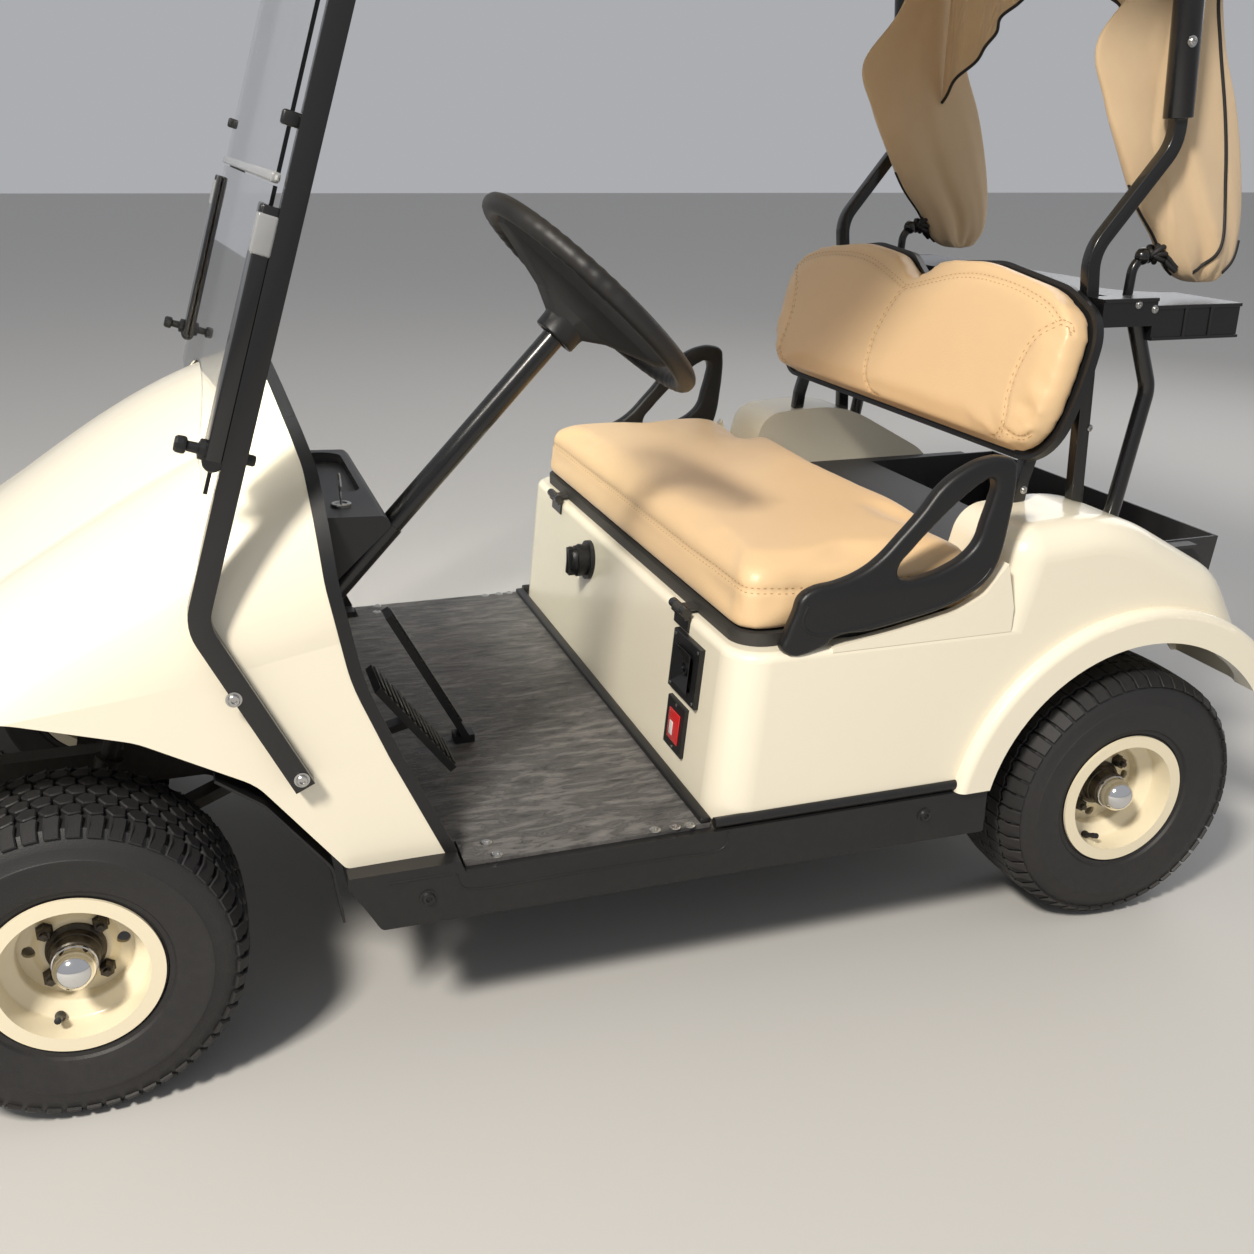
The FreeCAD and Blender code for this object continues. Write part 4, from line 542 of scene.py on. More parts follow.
# Half of the carcass section, from the bead inside to the crown. Columns: distance outboard, radius
CARCASS = [(0.077, 0.1013), (0.088, 0.1013), (0.0895, 0.119), (0.0925, 0.1205), (0.0935, 0.127),
           (0.0975, 0.130), (0.1035, 0.150), (0.1045, 0.170), (0.1055, 0.172), (0.1055, 0.178),
           (0.1040, 0.180), (0.1025, 0.193), (0.1015, 0.195), (0.0985, 0.205), (0.089, 0.2165),
           (0.074, 0.2190), (0.040, 0.2205), (0.0, 0.2210)]
CARCASS_INSIDE = [(0.0, 0.2120), (0.080, 0.2080), (0.094, 0.170), (0.078, 0.126)]
# The waist of a front lump: shares of its radius, all the way round it
PINCH = [1.0, 0.86, 1.0, 0.90, 1.0, 0.86, 1.0, 0.94, 1.0, 0.88]
PINCH_FILL = 1.08


def ring_of(points):
    """A closed loop of edges through points, from a circle with as many corners."""
    bpy.ops.mesh.primitive_circle_add(vertices=len(points))
    loop = bpy.context.object
    for vertex, point in zip(loop.data.vertices, points):
        vertex.co = point
    return loop


def spun(points, steps):
    """Turn a closed section, drawn as distance outboard and radius, about the Y axis."""
    piece = ring_of([(0, out, radius) for out, radius in points])
    bpy.ops.object.mode_set(mode="EDIT")
    bpy.ops.mesh.select_all(action="SELECT")
    bpy.ops.mesh.spin(steps=steps, angle=math.tau, center=(0, 0, 0), axis=(0, 1, 0))
    bpy.ops.object.mode_set(mode="OBJECT")
    weld(piece, 0.00001)
    return piece


def smooth_under(piece, degrees):
    """Shade a piece smooth, with an edge where its faces turn more than an angle."""
    only(piece)
    bpy.ops.object.shade_smooth_by_angle(angle=math.radians(degrees))


def join_all(pieces):
    only(pieces[0])
    for piece in pieces:
        piece.select_set(True)
    bpy.ops.object.join()
    return bpy.context.object


def lump(outline, chamfer):
    """One raised tread block over an outline along and across the tread, with chamfered edges."""
    bpy.ops.mesh.primitive_circle_add(vertices=len(outline), fill_type="NGON")
    piece = bpy.context.object
    for vertex, (along, across) in zip(piece.data.vertices, outline):
        vertex.co = (along, across, -TREAD_DEPTH)
    bpy.ops.object.mode_set(mode="EDIT")
    bpy.ops.mesh.select_all(action="SELECT")
    bpy.ops.mesh.extrude_region_move(TRANSFORM_OT_translate={"value": (0, 0, TREAD_DEPTH - chamfer)})
    bpy.ops.mesh.inset(thickness=chamfer, depth=chamfer)
    bpy.ops.mesh.select_all(action="SELECT")
    bpy.ops.mesh.normals_make_consistent(inside=False)
    bpy.ops.object.mode_set(mode="OBJECT")
    return piece


def wrap_on_tyre(piece):
    """Bend a flat block on to the tyre's crown and round its shoulder."""
    for vertex in piece.data.vertices:
        along, across, height = vertex.co
        side = math.copysign(1, across)
        flat = min(abs(across), CROWN_HALF)
        bend = (abs(across) - flat) / SHOULDER_BEND
        radius = TYRE_RADIUS - CROWN_DROP * (flat / CROWN_HALF) ** 2
        radius += SHOULDER_BEND * (math.cos(bend) - 1) + height * math.cos(bend)
        out = side * (flat + SHOULDER_BEND * math.sin(bend) + height * math.sin(bend))
        turn = along / TYRE_RADIUS
        vertex.co = (radius * math.sin(turn), out, radius * math.cos(turn))


def pebble(along, across, length, width):
    """The outline of a rounded lump with a pinched waist."""
    outline = []
    for i, share in enumerate(PINCH):
        angle = math.tau * i / len(PINCH)
        outline.append((along + length / 2 * share * math.cos(angle) * PINCH_FILL,
                        across + width / 2 * share * math.sin(angle) * PINCH_FILL))
    return outline


def rib_piece(across, width, sway, gap):
    """One pitch of a wavy rib, cut off from the next by a slit."""
    reach = TREAD_PITCH / 2 - gap / 2
    half_width = width / 2
    return [(-reach, across - half_width), (-reach / 3, across - half_width + sway),
            (reach / 3, across - half_width - sway * 0.4), (reach, across - half_width),
            (reach, across + half_width), (reach / 3, across + half_width - sway * 0.4),
            (-reach / 3, across + half_width + sway), (-reach, across + half_width)]


def shoulder_lug(inner, outer, length, side, sway):
    """The outline of a lug from the tread's edge down over the shoulder."""
    rows = [(-length / 2, inner + sway), (-length / 4, inner - sway), (length / 4, inner + sway),
            (length / 2, inner - sway), (length / 2 * 0.94, (inner + outer) / 2), (length / 2 * 0.9, outer),
            (-length / 2 * 0.9, outer), (-length / 2 * 0.94, (inner + outer) / 2)]
    return [(along, side * across) for along, across in rows]


FRONT_ROWS = [pebble(0, 0, 0.0265, 0.027), pebble(TREAD_PITCH / 2, 0.0265, 0.0262, 0.0265),
              pebble(TREAD_PITCH / 2, -0.0265, 0.0262, 0.0265), pebble(0.003, 0.053, 0.0262, 0.0265),
              pebble(-0.003, -0.053, 0.0262, 0.0265),
              shoulder_lug(0.069, 0.1080, 0.0225, 1, 0.0022),
              shoulder_lug(0.069, 0.1080, 0.0225, -1, 0.0022)]
REAR_ROWS = [rib_piece(0.0155, 0.027, 0.0035, 0.0012), rib_piece(-0.0155, 0.027, -0.0035, 0.0012),
             rib_piece(0.0475, 0.029, -0.0035, 0.0014), rib_piece(-0.0475, 0.029, 0.0035, 0.0014),
             shoulder_lug(0.0665, 0.1080, 0.0248, 1, 0.0030),
             shoulder_lug(0.0665, 0.1080, 0.0248, -1, 0.0030)]
FRONT_CHAMFER = 0.0016
REAR_CHAMFER = 0.0009


def tyre_mesh(rows, chamfer):
    """A whole tyre about the Y axis: the carcass and its tread all the way round."""
    section = CARCASS + [(-out, radius) for out, radius in CARCASS[-2::-1]]
    inside = [(-out, radius) for out, radius in CARCASS_INSIDE[:0:-1]] + CARCASS_INSIDE
    tyre = spun(section + inside, CARCASS_STEPS)
    tyre.data.shade_smooth()
    tread = [lump(outline, chamfer) for outline in rows]
    for piece in tread:
        wrap_on_tyre(piece)
    around = join_all(tread)
    bpy.ops.object.mode_set(mode="EDIT")
    bpy.ops.mesh.select_all(action="SELECT")
    bpy.ops.mesh.spin(steps=TREAD_PITCHES - 1, angle=math.tau * (TREAD_PITCHES - 1) / TREAD_PITCHES,
                      dupli=True, center=(0, 0, 0), axis=(0, 1, 0))
    bpy.ops.object.mode_set(mode="OBJECT")
    tyre = join_all([tyre, around])
    smooth_under(tyre, 34)
    return tyre


def facing(side):
    """The turn that makes a piece drawn for the left side face a side: 1 is left, -1 is right."""
    return Matrix.Rotation(0 if side > 0 else math.pi, 4, "Z")


def copy_to_wheel(model, name, centre, outward):
    """A copy of a wheel piece with its own mesh, moved to its axle and turned to face outwards."""
    piece = new_piece(name, model.data.copy())
    piece.data.transform(Matrix.Translation(centre) @ facing(outward))
    return piece


# Columns: middle of the wheel, side that it faces
WHEELS = {"front_left": ((0.8025, 0.481, TYRE_RADIUS), 1), "front_right": ((0.8025, -0.481, TYRE_RADIUS), -1),
          "rear_left": ((-0.8615, 0.487, TYRE_RADIUS), 1), "rear_right": ((-0.8615, -0.487, TYRE_RADIUS), -1)}
tyre_black = finish_material("tyre_rubber", (0.016, 0.016, 0.0175), 0.55, (650.0, 0.00025, 0.8), dust=0.14,
                             dust_top=0.5, mottle=0.3)
coat(tyre_black, *["tyre_" + label for label in WHEELS])
front_tyre = tyre_mesh(FRONT_ROWS, FRONT_CHAMFER)
rear_tyre = tyre_mesh(REAR_ROWS, REAR_CHAMFER)
for label, (centre, outward) in WHEELS.items():
    model = front_tyre if label.startswith("front") else rear_tyre
    name = "tyre_" + label + "_treaded"
    piece = copy_to_wheel(model, name, centre, outward)
    hang(piece, name, "wheel_" + label, tyre_black, ["tyre_" + label])
bpy.data.objects.remove(front_tyre)
bpy.data.objects.remove(rear_tyre)


# Rims and hubs: pressed steel rims in cream enamel. A greasy black hub sleeve stands in each, with a
# polished dust cap pressed on it, four wheel nuts on studs through the disc, and a rubber valve.
NUT_CIRCLE = 0.0505
DISC_FACE = 0.0265
VALVE_PLACE = (0.030, 0.050, -0.088)
VALVE_LEAN = 24
# Columns: distance outboard, radius
HUB_SECTION = [(0.018, 0.0262), (0.018, 0.0400), (0.031, 0.0395), (0.034, 0.0345), (0.044, 0.0335),
               (0.045, 0.0320), (0.061, 0.0315), (0.063, 0.0296), (0.063, 0.0262)]
CAP_SECTION = [(0.058, 0.0284), (0.0655, 0.0286), (0.0660, 0.0296), (0.0685, 0.0296), (0.0690, 0.0284),
               (0.0800, 0.0282), (0.0860, 0.0270), (0.0915, 0.0243), (0.0960, 0.0204), (0.0995, 0.0155),
               (0.1018, 0.0100), (0.1030, 0.0045), (0.1033, 0.0003), (0.1000, 0.0003), (0.0780, 0.0262),
               (0.058, 0.0262)]
NUT_SECTION = [(0.0, 0.0125), (0.0012, 0.0125), (0.0015, 0.0105), (0.0135, 0.0102), (0.0150, 0.0085),
               (0.0150, 0.0055), (0.0205, 0.0052), (0.0210, 0.0003), (0.0, 0.0003)]
VALVE_SECTION = [(0.0, 0.0075), (0.004, 0.0070), (0.008, 0.0045), (0.022, 0.0040), (0.0225, 0.0050),
                 (0.033, 0.0048), (0.034, 0.0003), (0.0, 0.0003)]
rim_cream = finish_material("rim_paint", (0.87, 0.775, 0.565), 0.30, (60.0, 0.00008, 1.5), dust=0.22,
                            dust_top=0.4, mottle=0.04, Coat_Weight=0.3, Coat_Roughness=0.1)
coat(rim_cream, *["rim_" + label for label in WHEELS])
polished = finish_material("polished_cap", (0.80, 0.80, 0.80), 0.09, (50.0, 0.00005, 1.0), dust=0.3,
                           mottle=0.05, Metallic=1.0)
greased = finish_material("greased_hub", (0.030, 0.027, 0.024), 0.33, (260.0, 0.0003, 1.5), dust=0.9,
                          mottle=0.4, Metallic=0.5)


def about(axis, degrees):
    """A turn about an axis, as a matrix."""
    return Matrix.Rotation(math.radians(degrees), 4, axis)


def wheel_nuts():
    """Four hexagonal nuts with washers, round the hub."""
    nuts = []
    for quarter in range(4):
        nut = spun(NUT_SECTION, 6)
        angle = math.radians(45 + 90 * quarter)
        spot = (NUT_CIRCLE * math.cos(angle), DISC_FACE, NUT_CIRCLE * math.sin(angle))
        nut.data.transform(Matrix.Translation(spot))
        nuts.append(nut)
    return join_all(nuts)


def valve():
    """The valve stands out of the rim's well and leans to the wheel's face."""
    stem = spun(VALVE_SECTION, 16)
    stem.data.transform(Matrix.Translation(VALVE_PLACE) @ about("X", VALVE_LEAN))
    return stem


HUB_PIECES = {"hub": (spun(HUB_SECTION, 48), greased, "black_steel"),
              "dust_cap": (spun(CAP_SECTION, 48), polished, "bare_steel"),
              "wheel_nuts": (wheel_nuts(), greased, "bare_steel"),
              "valve": (valve(), moulded_black, "tyre_rubber")}
for kind, (model, material, slot) in HUB_PIECES.items():
    smooth_under(model, 30)
    for label, (centre, outward) in WHEELS.items():
        piece = copy_to_wheel(model, kind + "_" + label, centre, outward)
        hang(piece, kind + "_" + label, "wheel_" + label, material)
    bpy.data.objects.remove(model)


# Steering wheel: soft black foam moulded over a steel ring, with finger scallops along the side where
# the hand lies, and a ribbed collar below its housing.
WHEEL_CENTRE = Vector((0.0, 0.285, 1.055))
COLUMN_TILT = -math.atan2(0.69, 0.7238)
GRIP_RING = 0.190
GRIP_RADIUS = 0.0152
GRIP_STEPS = 1600
SCALLOPS = 200
SCALLOP_DEPTH = 0.0007
SPOKES = 3
# The collar below the housing. Columns: distance above the wheel's middle, radius
COLLAR_SECTION = [(-0.0815, 0.0245), (-0.0815, 0.0322), (-0.0795, 0.0338), (-0.0560, 0.0345),
                  (-0.0530, 0.0362), (-0.0460, 0.0366), (-0.0440, 0.0300), (-0.0600, 0.0245)]
wheel_place = Matrix.Translation(WHEEL_CENTRE) @ Matrix.Rotation(COLUMN_TILT, 4, "Y")
bpy.ops.mesh.primitive_torus_add(major_radius=GRIP_RING, minor_radius=GRIP_RADIUS, major_segments=GRIP_STEPS,
                                 minor_segments=16)
grip = bpy.context.object
for vertex in grip.data.vertices:
    turn = math.atan2(vertex.co.y, vertex.co.x)
    middle = Vector((math.cos(turn), math.sin(turn), 0)) * GRIP_RING
    spoke_side = max(0.0, math.cos(turn * SPOKES + math.pi)) ** 0.5
    outward_push = 0.5 + 0.5 * (vertex.co - middle).normalized().dot(middle.normalized())
    scallop = SCALLOP_DEPTH * math.cos(turn * SCALLOPS) * spoke_side * (0.4 + 0.6 * outward_push)
    vertex.co = middle + (vertex.co - middle) * (1 + scallop / GRIP_RADIUS)
grip.data.transform(wheel_place)
foam_black = finish_material("grip_foam", (0.016, 0.015, 0.015), 0.48, (1100.0, 0.0002, 0.3), mottle=0.3)
hang(grip, "steering_grip", "steering_wheel", foam_black)
grip.data.shade_smooth()
collar = spun(COLLAR_SECTION, 64)
smooth_under(collar, 35)
collar.data.transform(wheel_place @ about("X", 90))
hang(collar, "steering_collar", "steering_wheel", moulded_black)


# Bag cover: a pouch of tan coated canvas hangs on each side, gathered up at its foot and tied to the
# rack's hook, and a valance hangs under the roof's rear edge. Black piping and tape finish the seams.
COVER_Y = 0.368
CLOTH_THICKNESS = 0.0012
# The pouch from the roof down. Columns: height, front edge, rear edge, half thickness
POUCH_ROWS = [(1.748, -0.925, -0.970, 0.005), (1.700, -0.915, -0.973, 0.007), (1.640, -0.900, -0.984, 0.009),
              (1.520, -0.852, -0.991, 0.013), (1.421, -0.779, -1.016, 0.017), (1.337, -0.806, -1.053, 0.022),
              (1.262, -0.845, -1.077, 0.027), (1.186, -0.890, -1.094, 0.032), (1.135, -0.934, -1.098, 0.034),
              (1.100, -0.957, -1.095, 0.031), (1.078, -0.975, -1.084, 0.024), (1.064, -1.004, -1.070, 0.014),
              (1.0605, -1.034, -1.040, 0.0012)]
# Where the rear panel laps over the front one. Columns: height, x
LAP_LINE = [(1.748, -0.930), (1.475, -0.902), (1.393, -0.898), (1.277, -0.894), (1.221, -0.921),
            (1.176, -0.937), (1.124, -0.952), (1.060, -0.975)]
LAP_STEP = 0.0055
LAP_WIDTH = 0.005
# The piping and the foot tape on the rear panel. Columns: x, height
PIPING = [(-0.972, 1.640), (-0.976, 1.560), (-0.982, 1.484), (-0.997, 1.425), (-1.012, 1.365),
          (-1.025, 1.304), (-1.037, 1.224), (-1.041, 1.159), (-1.032, 1.108), (-1.016, 1.086),
          (-0.998, 1.078)]
FOOT_TAPE = [(-1.092, 1.128), (-1.086, 1.106), (-1.074, 1.088), (-1.060, 1.076)]
POUCH_GRID = (150, 110)
PIPING_RADIUS = 0.0030
TIE_RADIUS = 0.0046
# The loops of the tie's knot. Columns: lean, radius
TIE_LOOPS = ((0.0, 0.0145), (0.7, 0.0165), (-0.6, 0.0155), (1.4, 0.0135))
TIE_PLACE = (-0.944, 1.108)
VALANCE_GRID = (120, 50)
VALANCE_HALF = 0.345
VALANCE_X = -0.960
VALANCE_TOP = 1.748
VALANCE_CENTRE = 1.552
VALANCE_FOOT = 1.350
VALANCE_TAPE_RADIUS = 0.0032


def cubic(rows, share):
    """A smooth value between the rows of a table, at a share of its length."""
    last = len(rows) - 1
    at = min(share * last, last - 1e-6)
    i = int(at)
    f = at - i
    p = [rows[max(0, min(last, i + k))] for k in (-1, 0, 1, 2)]
    return [0.5 * (2 * b + (c - a) * f + (2 * a - 5 * b + 4 * c - d) * f * f
                   + (3 * b - 3 * c + d - a) * f ** 3) for a, b, c, d in zip(*p)]


def lap_x(height):
    """Where the lap stands at a height."""
    for (top, x_top), (low, x_low) in zip(LAP_LINE, LAP_LINE[1:]):
        if height >= low:
            return x_low + (x_top - x_low) * (height - low) / (top - low)
    return LAP_LINE[-1][1]


def pouch_place(u, v, side):
    """A point of a pouch: u runs round it from its front edge, v down it."""
    height, front, rear, thick = cubic(POUCH_ROWS, v)
    angle = math.tau * u
    across = (1 - math.cos(angle)) / 2
    bulge = math.copysign(abs(math.sin(angle)) ** 0.75, math.sin(angle))
    fold = 0.55 * math.sin(math.tau * (1.7 * across + 0.22 * math.sin(4.2 * v) + 0.1 * side))
    fold += 0.30 * math.sin(math.tau * (3.3 * across + 0.9 * v + 0.35 * math.sin(6 * v)))
    fold += 0.16 * math.sin(math.tau * (5.6 * across - 1.1 * v)) * v
    depth = (0.10 + 0.34 * v * v) * abs(math.sin(angle)) ** 0.5
    out = COVER_Y + thick * bulge * (1 + fold * depth)
    place = Vector((front + (rear - front) * across, side * out, height))
    if bulge > 0:
        ahead = max(0.0, min(1.0, (place.x - lap_x(height)) / LAP_WIDTH + 0.5))
        place.y -= side * LAP_STEP * ahead * min(1.0, thick / 0.012) * bulge
    return place


def sheet_grid(name, columns, rows, shape):
    """A cloth sheet over a grid, shaped by a function of its two shares."""
    bpy.ops.mesh.primitive_grid_add(x_subdivisions=columns, y_subdivisions=rows, size=1)
    piece = bpy.context.object
    piece.name = name
    for vertex in piece.data.vertices:
        vertex.co = shape(vertex.co.x + 0.5, vertex.co.y + 0.5)
    return piece


def laid_on(piece, points, side):
    """Places on a pouch's outer face, from points given as x and height."""
    places = []
    for spot in smooth_line([Vector((x, 0, height)) for x, height in points], 0.004):
        hit, where = piece.ray_cast(Vector((spot.x, side * 0.6, spot.z)), Vector((0, -side, 0)))[:2]
        if hit:
            places.append(where + Vector((0, side * 0.0008, 0)))
    return places


def tie_lines(side):
    """A knotted cord round the gathered foot: its loops, and two ends that hang down."""
    lines = []
    for lean, radius in TIE_LOOPS:
        turn = Matrix.Rotation(lean, 4, "X") @ Matrix.Rotation(lean * 0.6, 4, "Y")
        loop = [Vector((radius * math.cos(math.tau * i / 28), radius * math.sin(math.tau * i / 28), 0))
                for i in range(29)]
        lines.append([turn @ spot + Vector((TIE_PLACE[0], side * COVER_Y, TIE_PLACE[1])) for spot in loop])
    for drop in (0.0, 0.010):
        lines.append([Vector((-0.952, side * (COVER_Y + 0.006), 1.112 - drop)),
                      Vector((-0.962, side * (COVER_Y + 0.013), 1.100 - drop)),
                      Vector((-0.974, side * (COVER_Y + 0.016), 1.086 - drop / 2))])
    return lines


def canvas_material():
    """Sun-faded coated canvas: a plain weave of two crossed threads with loose creases."""
    material, tree, shader, place = new_material("cover_canvas")
    threads = [node(tree, "TexWave", {"bands_direction": axis}, Vector=place, Scale=260.0, Distortion=1.2)[1]
               for axis in ("X", "Z")]
    creases = node(tree, "TexNoise", Vector=place, Scale=11.0, Detail=7.0, Roughness=0.6)[0]
    relief = maths(tree, "MULTIPLY_ADD", creases, 5.0, maths(tree, "MAXIMUM", *threads))
    feed(tree, shader, Base_Color=between(tree, creases, (0.80, 0.60, 0.375), (0.70, 0.50, 0.295)),
         Normal=node(tree, "Bump", Height=relief, Strength=0.8, Distance=0.0006)[0], Roughness=0.85,
         Sheen_Weight=0.3)
    return material


canvas = canvas_material()
coat(canvas, "bag_cover_left", "bag_cover_right", "bag_cover_top")
edge_tape = finish_material("edge_tape", (0.012, 0.011, 0.011), 0.6, (900.0, 0.0002, 0.0))
for label, side in (("left", 1), ("right", -1)):
    pouch = sheet_grid("bag_pouch_" + label, *POUCH_GRID, lambda u, v: pouch_place(u, v, side))
    weld(pouch, 0.00002)
    trims = [laid_on(pouch, PIPING, side), laid_on(pouch, FOOT_TAPE, side)]
    trims.append([pouch_place(0.0, 0.55 + 0.30 * i / 40, side) for i in range(41)])
    apply_modifier(pouch, "SOLIDIFY", thickness=CLOTH_THICKNESS, offset=-1)
    hang(pouch, "bag_pouch_" + label, "body", canvas, ["bag_cover_" + label])
    pouch.data.shade_smooth()
    for name, lines, radius, sides in (("pouch_piping_", trims, PIPING_RADIUS, 2),
                                       ("cover_tie_", tie_lines(side), TIE_RADIUS, 3)):
        piece = hang(thread(name, lines, radius, sides), name + label, "body", edge_tape)
        piece.data.shade_smooth()


def valance_place(u, v):
    """A point of the valance: u runs across it, v down to its arched hem."""
    across = (u * 2 - 1) * VALANCE_HALF
    arch = min(1.0, abs(across) / VALANCE_HALF) ** 1.6
    hem = VALANCE_CENTRE - (VALANCE_CENTRE - VALANCE_FOOT) * arch
    sway = 0.010 * v * math.sin(across * 34) + 0.004 * math.sin(across * 90 + v * 3) * v
    return Vector((VALANCE_X + sway, across, VALANCE_TOP + (hem - VALANCE_TOP) * v))


valance = sheet_grid("bag_valance", *VALANCE_GRID, valance_place)
apply_modifier(valance, "SOLIDIFY", thickness=CLOTH_THICKNESS, offset=0)
hang(valance, "bag_valance", "body", canvas, ["bag_cover_top"])
valance.data.shade_smooth()
hem_line = [valance_place(i / 100, 1.0) for i in range(101)]
valance_tape = thread("valance_tape", [hem_line], VALANCE_TAPE_RADIUS)
hang(valance_tape, "valance_tape", "body", edge_tape)
valance_tape.data.shade_smooth()


# Screws and bolts: zinc-plated cap screws with a hexagon socket hold the struts, clips, hoops and
# rack. Each head is turned from bar, with a chamfered rim and a round washer below it.
# Columns: height above the seat, radius
SCREW_SECTION = [(0.0, 0.0105), (0.0012, 0.0105), (0.0014, 0.0078), (0.0048, 0.0076), (0.0060, 0.0064),
                 (0.0060, 0.0040), (0.0030, 0.0036), (0.0030, 0.0003), (0.0, 0.0003)]
# Columns: distance outboard, size, places as x and height
SCREWS = {"strut_screws": (0.5776, 1.0, [(0.566, 0.597), (0.490, 0.471), (0.333, 1.545)]),
          "post_screws": (0.4232, 0.62, [(-0.8150, 0.838), (-0.7020, 0.742)]),
          "rack_screws": (0.4702, 0.62, [(-0.839, 1.041), (-0.871, 1.033)]),
          "sleeve_screws": (0.4374, 0.8, [(-0.894, 1.420), (-0.884, 1.560)])}
zinc = finish_material("zinc_bolt", (0.56, 0.56, 0.55), 0.28, (300.0, 0.00005, 0.6), dust=0.5, mottle=0.2,
                       Metallic=1.0)
screw_model = spun(SCREW_SECTION, 24)
smooth_under(screw_model, 30)
for name, (out, size, places) in SCREWS.items():
    heads = []
    for x, height in places:
        for side in (1, -1):
            head = new_piece(name, screw_model.data.copy())
            turn = Vector((0, 1, 0)).rotation_difference(Vector((0, side, 0))).to_matrix().to_4x4()
            spot = Matrix.Translation((x, out * side, height))
            head.data.transform(spot @ turn @ Matrix.Scale(size, 4))
            heads.append(head)
    hang(join_all(heads), name, "body", zinc)
bpy.data.objects.remove(screw_model)


# Windshield fixings: turn knobs clamp the lower pane's corners to the rails, clear sleeves close the
# rails' ends, rubber rests stand above them, and a clear bead joins the two panes at the fold.
STRUT_Y = 0.565
STRUT_SLOPE = 0.314
# A point of the front strut's middle line: x, height
STRUT_POINT = (0.6015, 0.700)
KNOB_HEIGHT = 0.908
ROLLER_HEIGHT = 0.903
ROLLER_PLACE = (0.0245, 0, -0.006)
# Columns: distance in front of the strut's middle line, radius
KNOB_SECTION = [(0.033, 0.0003), (0.033, 0.0125), (0.036, 0.0135), (0.042, 0.0130), (0.044, 0.0070),
                (0.056, 0.0066), (0.058, 0.0105), (0.061, 0.0112), (0.068, 0.0108), (0.071, 0.0085),
                (0.071, 0.0003)]
NUT_BEHIND = [(-0.0245, 0.0003), (-0.0245, 0.0060), (-0.0220, 0.0072), (-0.0135, 0.0072), (-0.0135, 0.0003)]
ROLLER_SECTION = [(-0.0115, 0.0003), (-0.0115, 0.0110), (-0.0095, 0.0125), (0.0095, 0.0125), (0.0115, 0.0110),
                  (0.0115, 0.0003)]
# Columns: height on the strut, low corner, high corner, rounding
RESTS = [(1.186, (0.010, -0.0125, -0.010), (0.036, 0.0115, 0.004), 0.003),
         (1.284, (0.012, -0.017, -0.0085), (0.034, -0.003, 0.0085), 0.0035)]
SLEEVE = (1.158, (0.0125, -0.0150, -0.024), (0.0372, 0.0140, 0.024), 0.0035)
BEAD = (1.220, (0.0185, -0.548, -0.0065), (0.0305, 0.548, 0.0065), 0.004)


def box_shape(low, high, rounding, segments=3):
    """A moulded block between two corners, from a cube with all its edges rounded."""
    middle = [(a + b) / 2 for a, b in zip(low, high)]
    bpy.ops.mesh.primitive_cube_add(size=1, location=middle)
    piece = bpy.context.object
    piece.scale = [b - a for a, b in zip(low, high)]
    bpy.ops.object.transform_apply(location=True, rotation=True, scale=True)
    bpy.ops.object.mode_set(mode="EDIT")
    bpy.ops.mesh.select_all(action="SELECT")
    bpy.ops.mesh.bevel(offset=rounding, segments=segments, affect="EDGES")
    bpy.ops.object.mode_set(mode="OBJECT")
    smooth_under(piece, 40)
    return piece


def by_strut(height, side, y=STRUT_Y):
    """The frame of the front strut at a height: +X stands straight out of its front."""
    x, foot = STRUT_POINT
    middle = Vector((x - STRUT_SLOPE * (height - foot), side * y, height))
    return Matrix.Translation(middle) @ Matrix.Rotation(-math.atan(STRUT_SLOPE), 4, "Y")


def fitted(piece, height, side, y=STRUT_Y):
    piece.data.transform(by_strut(height, side, y))
    return piece


def glass_material():
    """Clear acrylic that lets light straight through to what stands behind it."""
    material, tree, shader, place = new_material("clear_pane")
    haze = node(tree, "TexNoise", Vector=place, Scale=7.0, Detail=4.0)[0]
    film = node(tree, "MapRange", Value=haze, i3=0.0, i4=0.03)[0]
    feed(tree, shader, Transmission_Weight=1.0, Base_Color=(0.985, 0.99, 0.985, 1), IOR=1.45, Roughness=film)
    shadow = node(tree, "LightPath")["Is Shadow Ray"]
    clear = node(tree, "BsdfTransparent", Color=(0.95, 0.97, 0.96, 1))[0]
    through = node(tree, "MixShader", i0=shadow, i1=shader.outputs[0], i2=clear)[0]
    feed(tree, tree.nodes["Material Output"], Surface=through)
    return material


acrylic = glass_material()
coat(acrylic, "windshield")
clear_plastic = finish_material("clear_sleeve", (0.93, 0.94, 0.95), 0.16, mottle=0.02,
                                Transmission_Weight=0.72)
fixings = []
clear_parts = []
for side in (1, -1):
    for section, steps in ((KNOB_SECTION, 10), (NUT_BEHIND, 24)):
        turned = spun(section, steps)
        turned.data.transform(about("Z", -90))
        fixings.append(fitted(turned, KNOB_HEIGHT, side))
    roller = spun(ROLLER_SECTION, 24)
    roller.data.transform(Matrix.Translation(ROLLER_PLACE))
    fixings.append(fitted(roller, ROLLER_HEIGHT, side))
    for height, *block in RESTS:
        fixings.append(fitted(box_shape(*block), height, side))
    clear_parts.append(fitted(box_shape(*SLEEVE[1:]), SLEEVE[0], side))
clear_parts.append(fitted(box_shape(*BEAD[1:]), BEAD[0], 1, 0.0))
hang(join_all(fixings), "windshield_fixings", "body", moulded_black)
hang(join_all(clear_parts), "windshield_clear_parts", "body", clear_plastic)
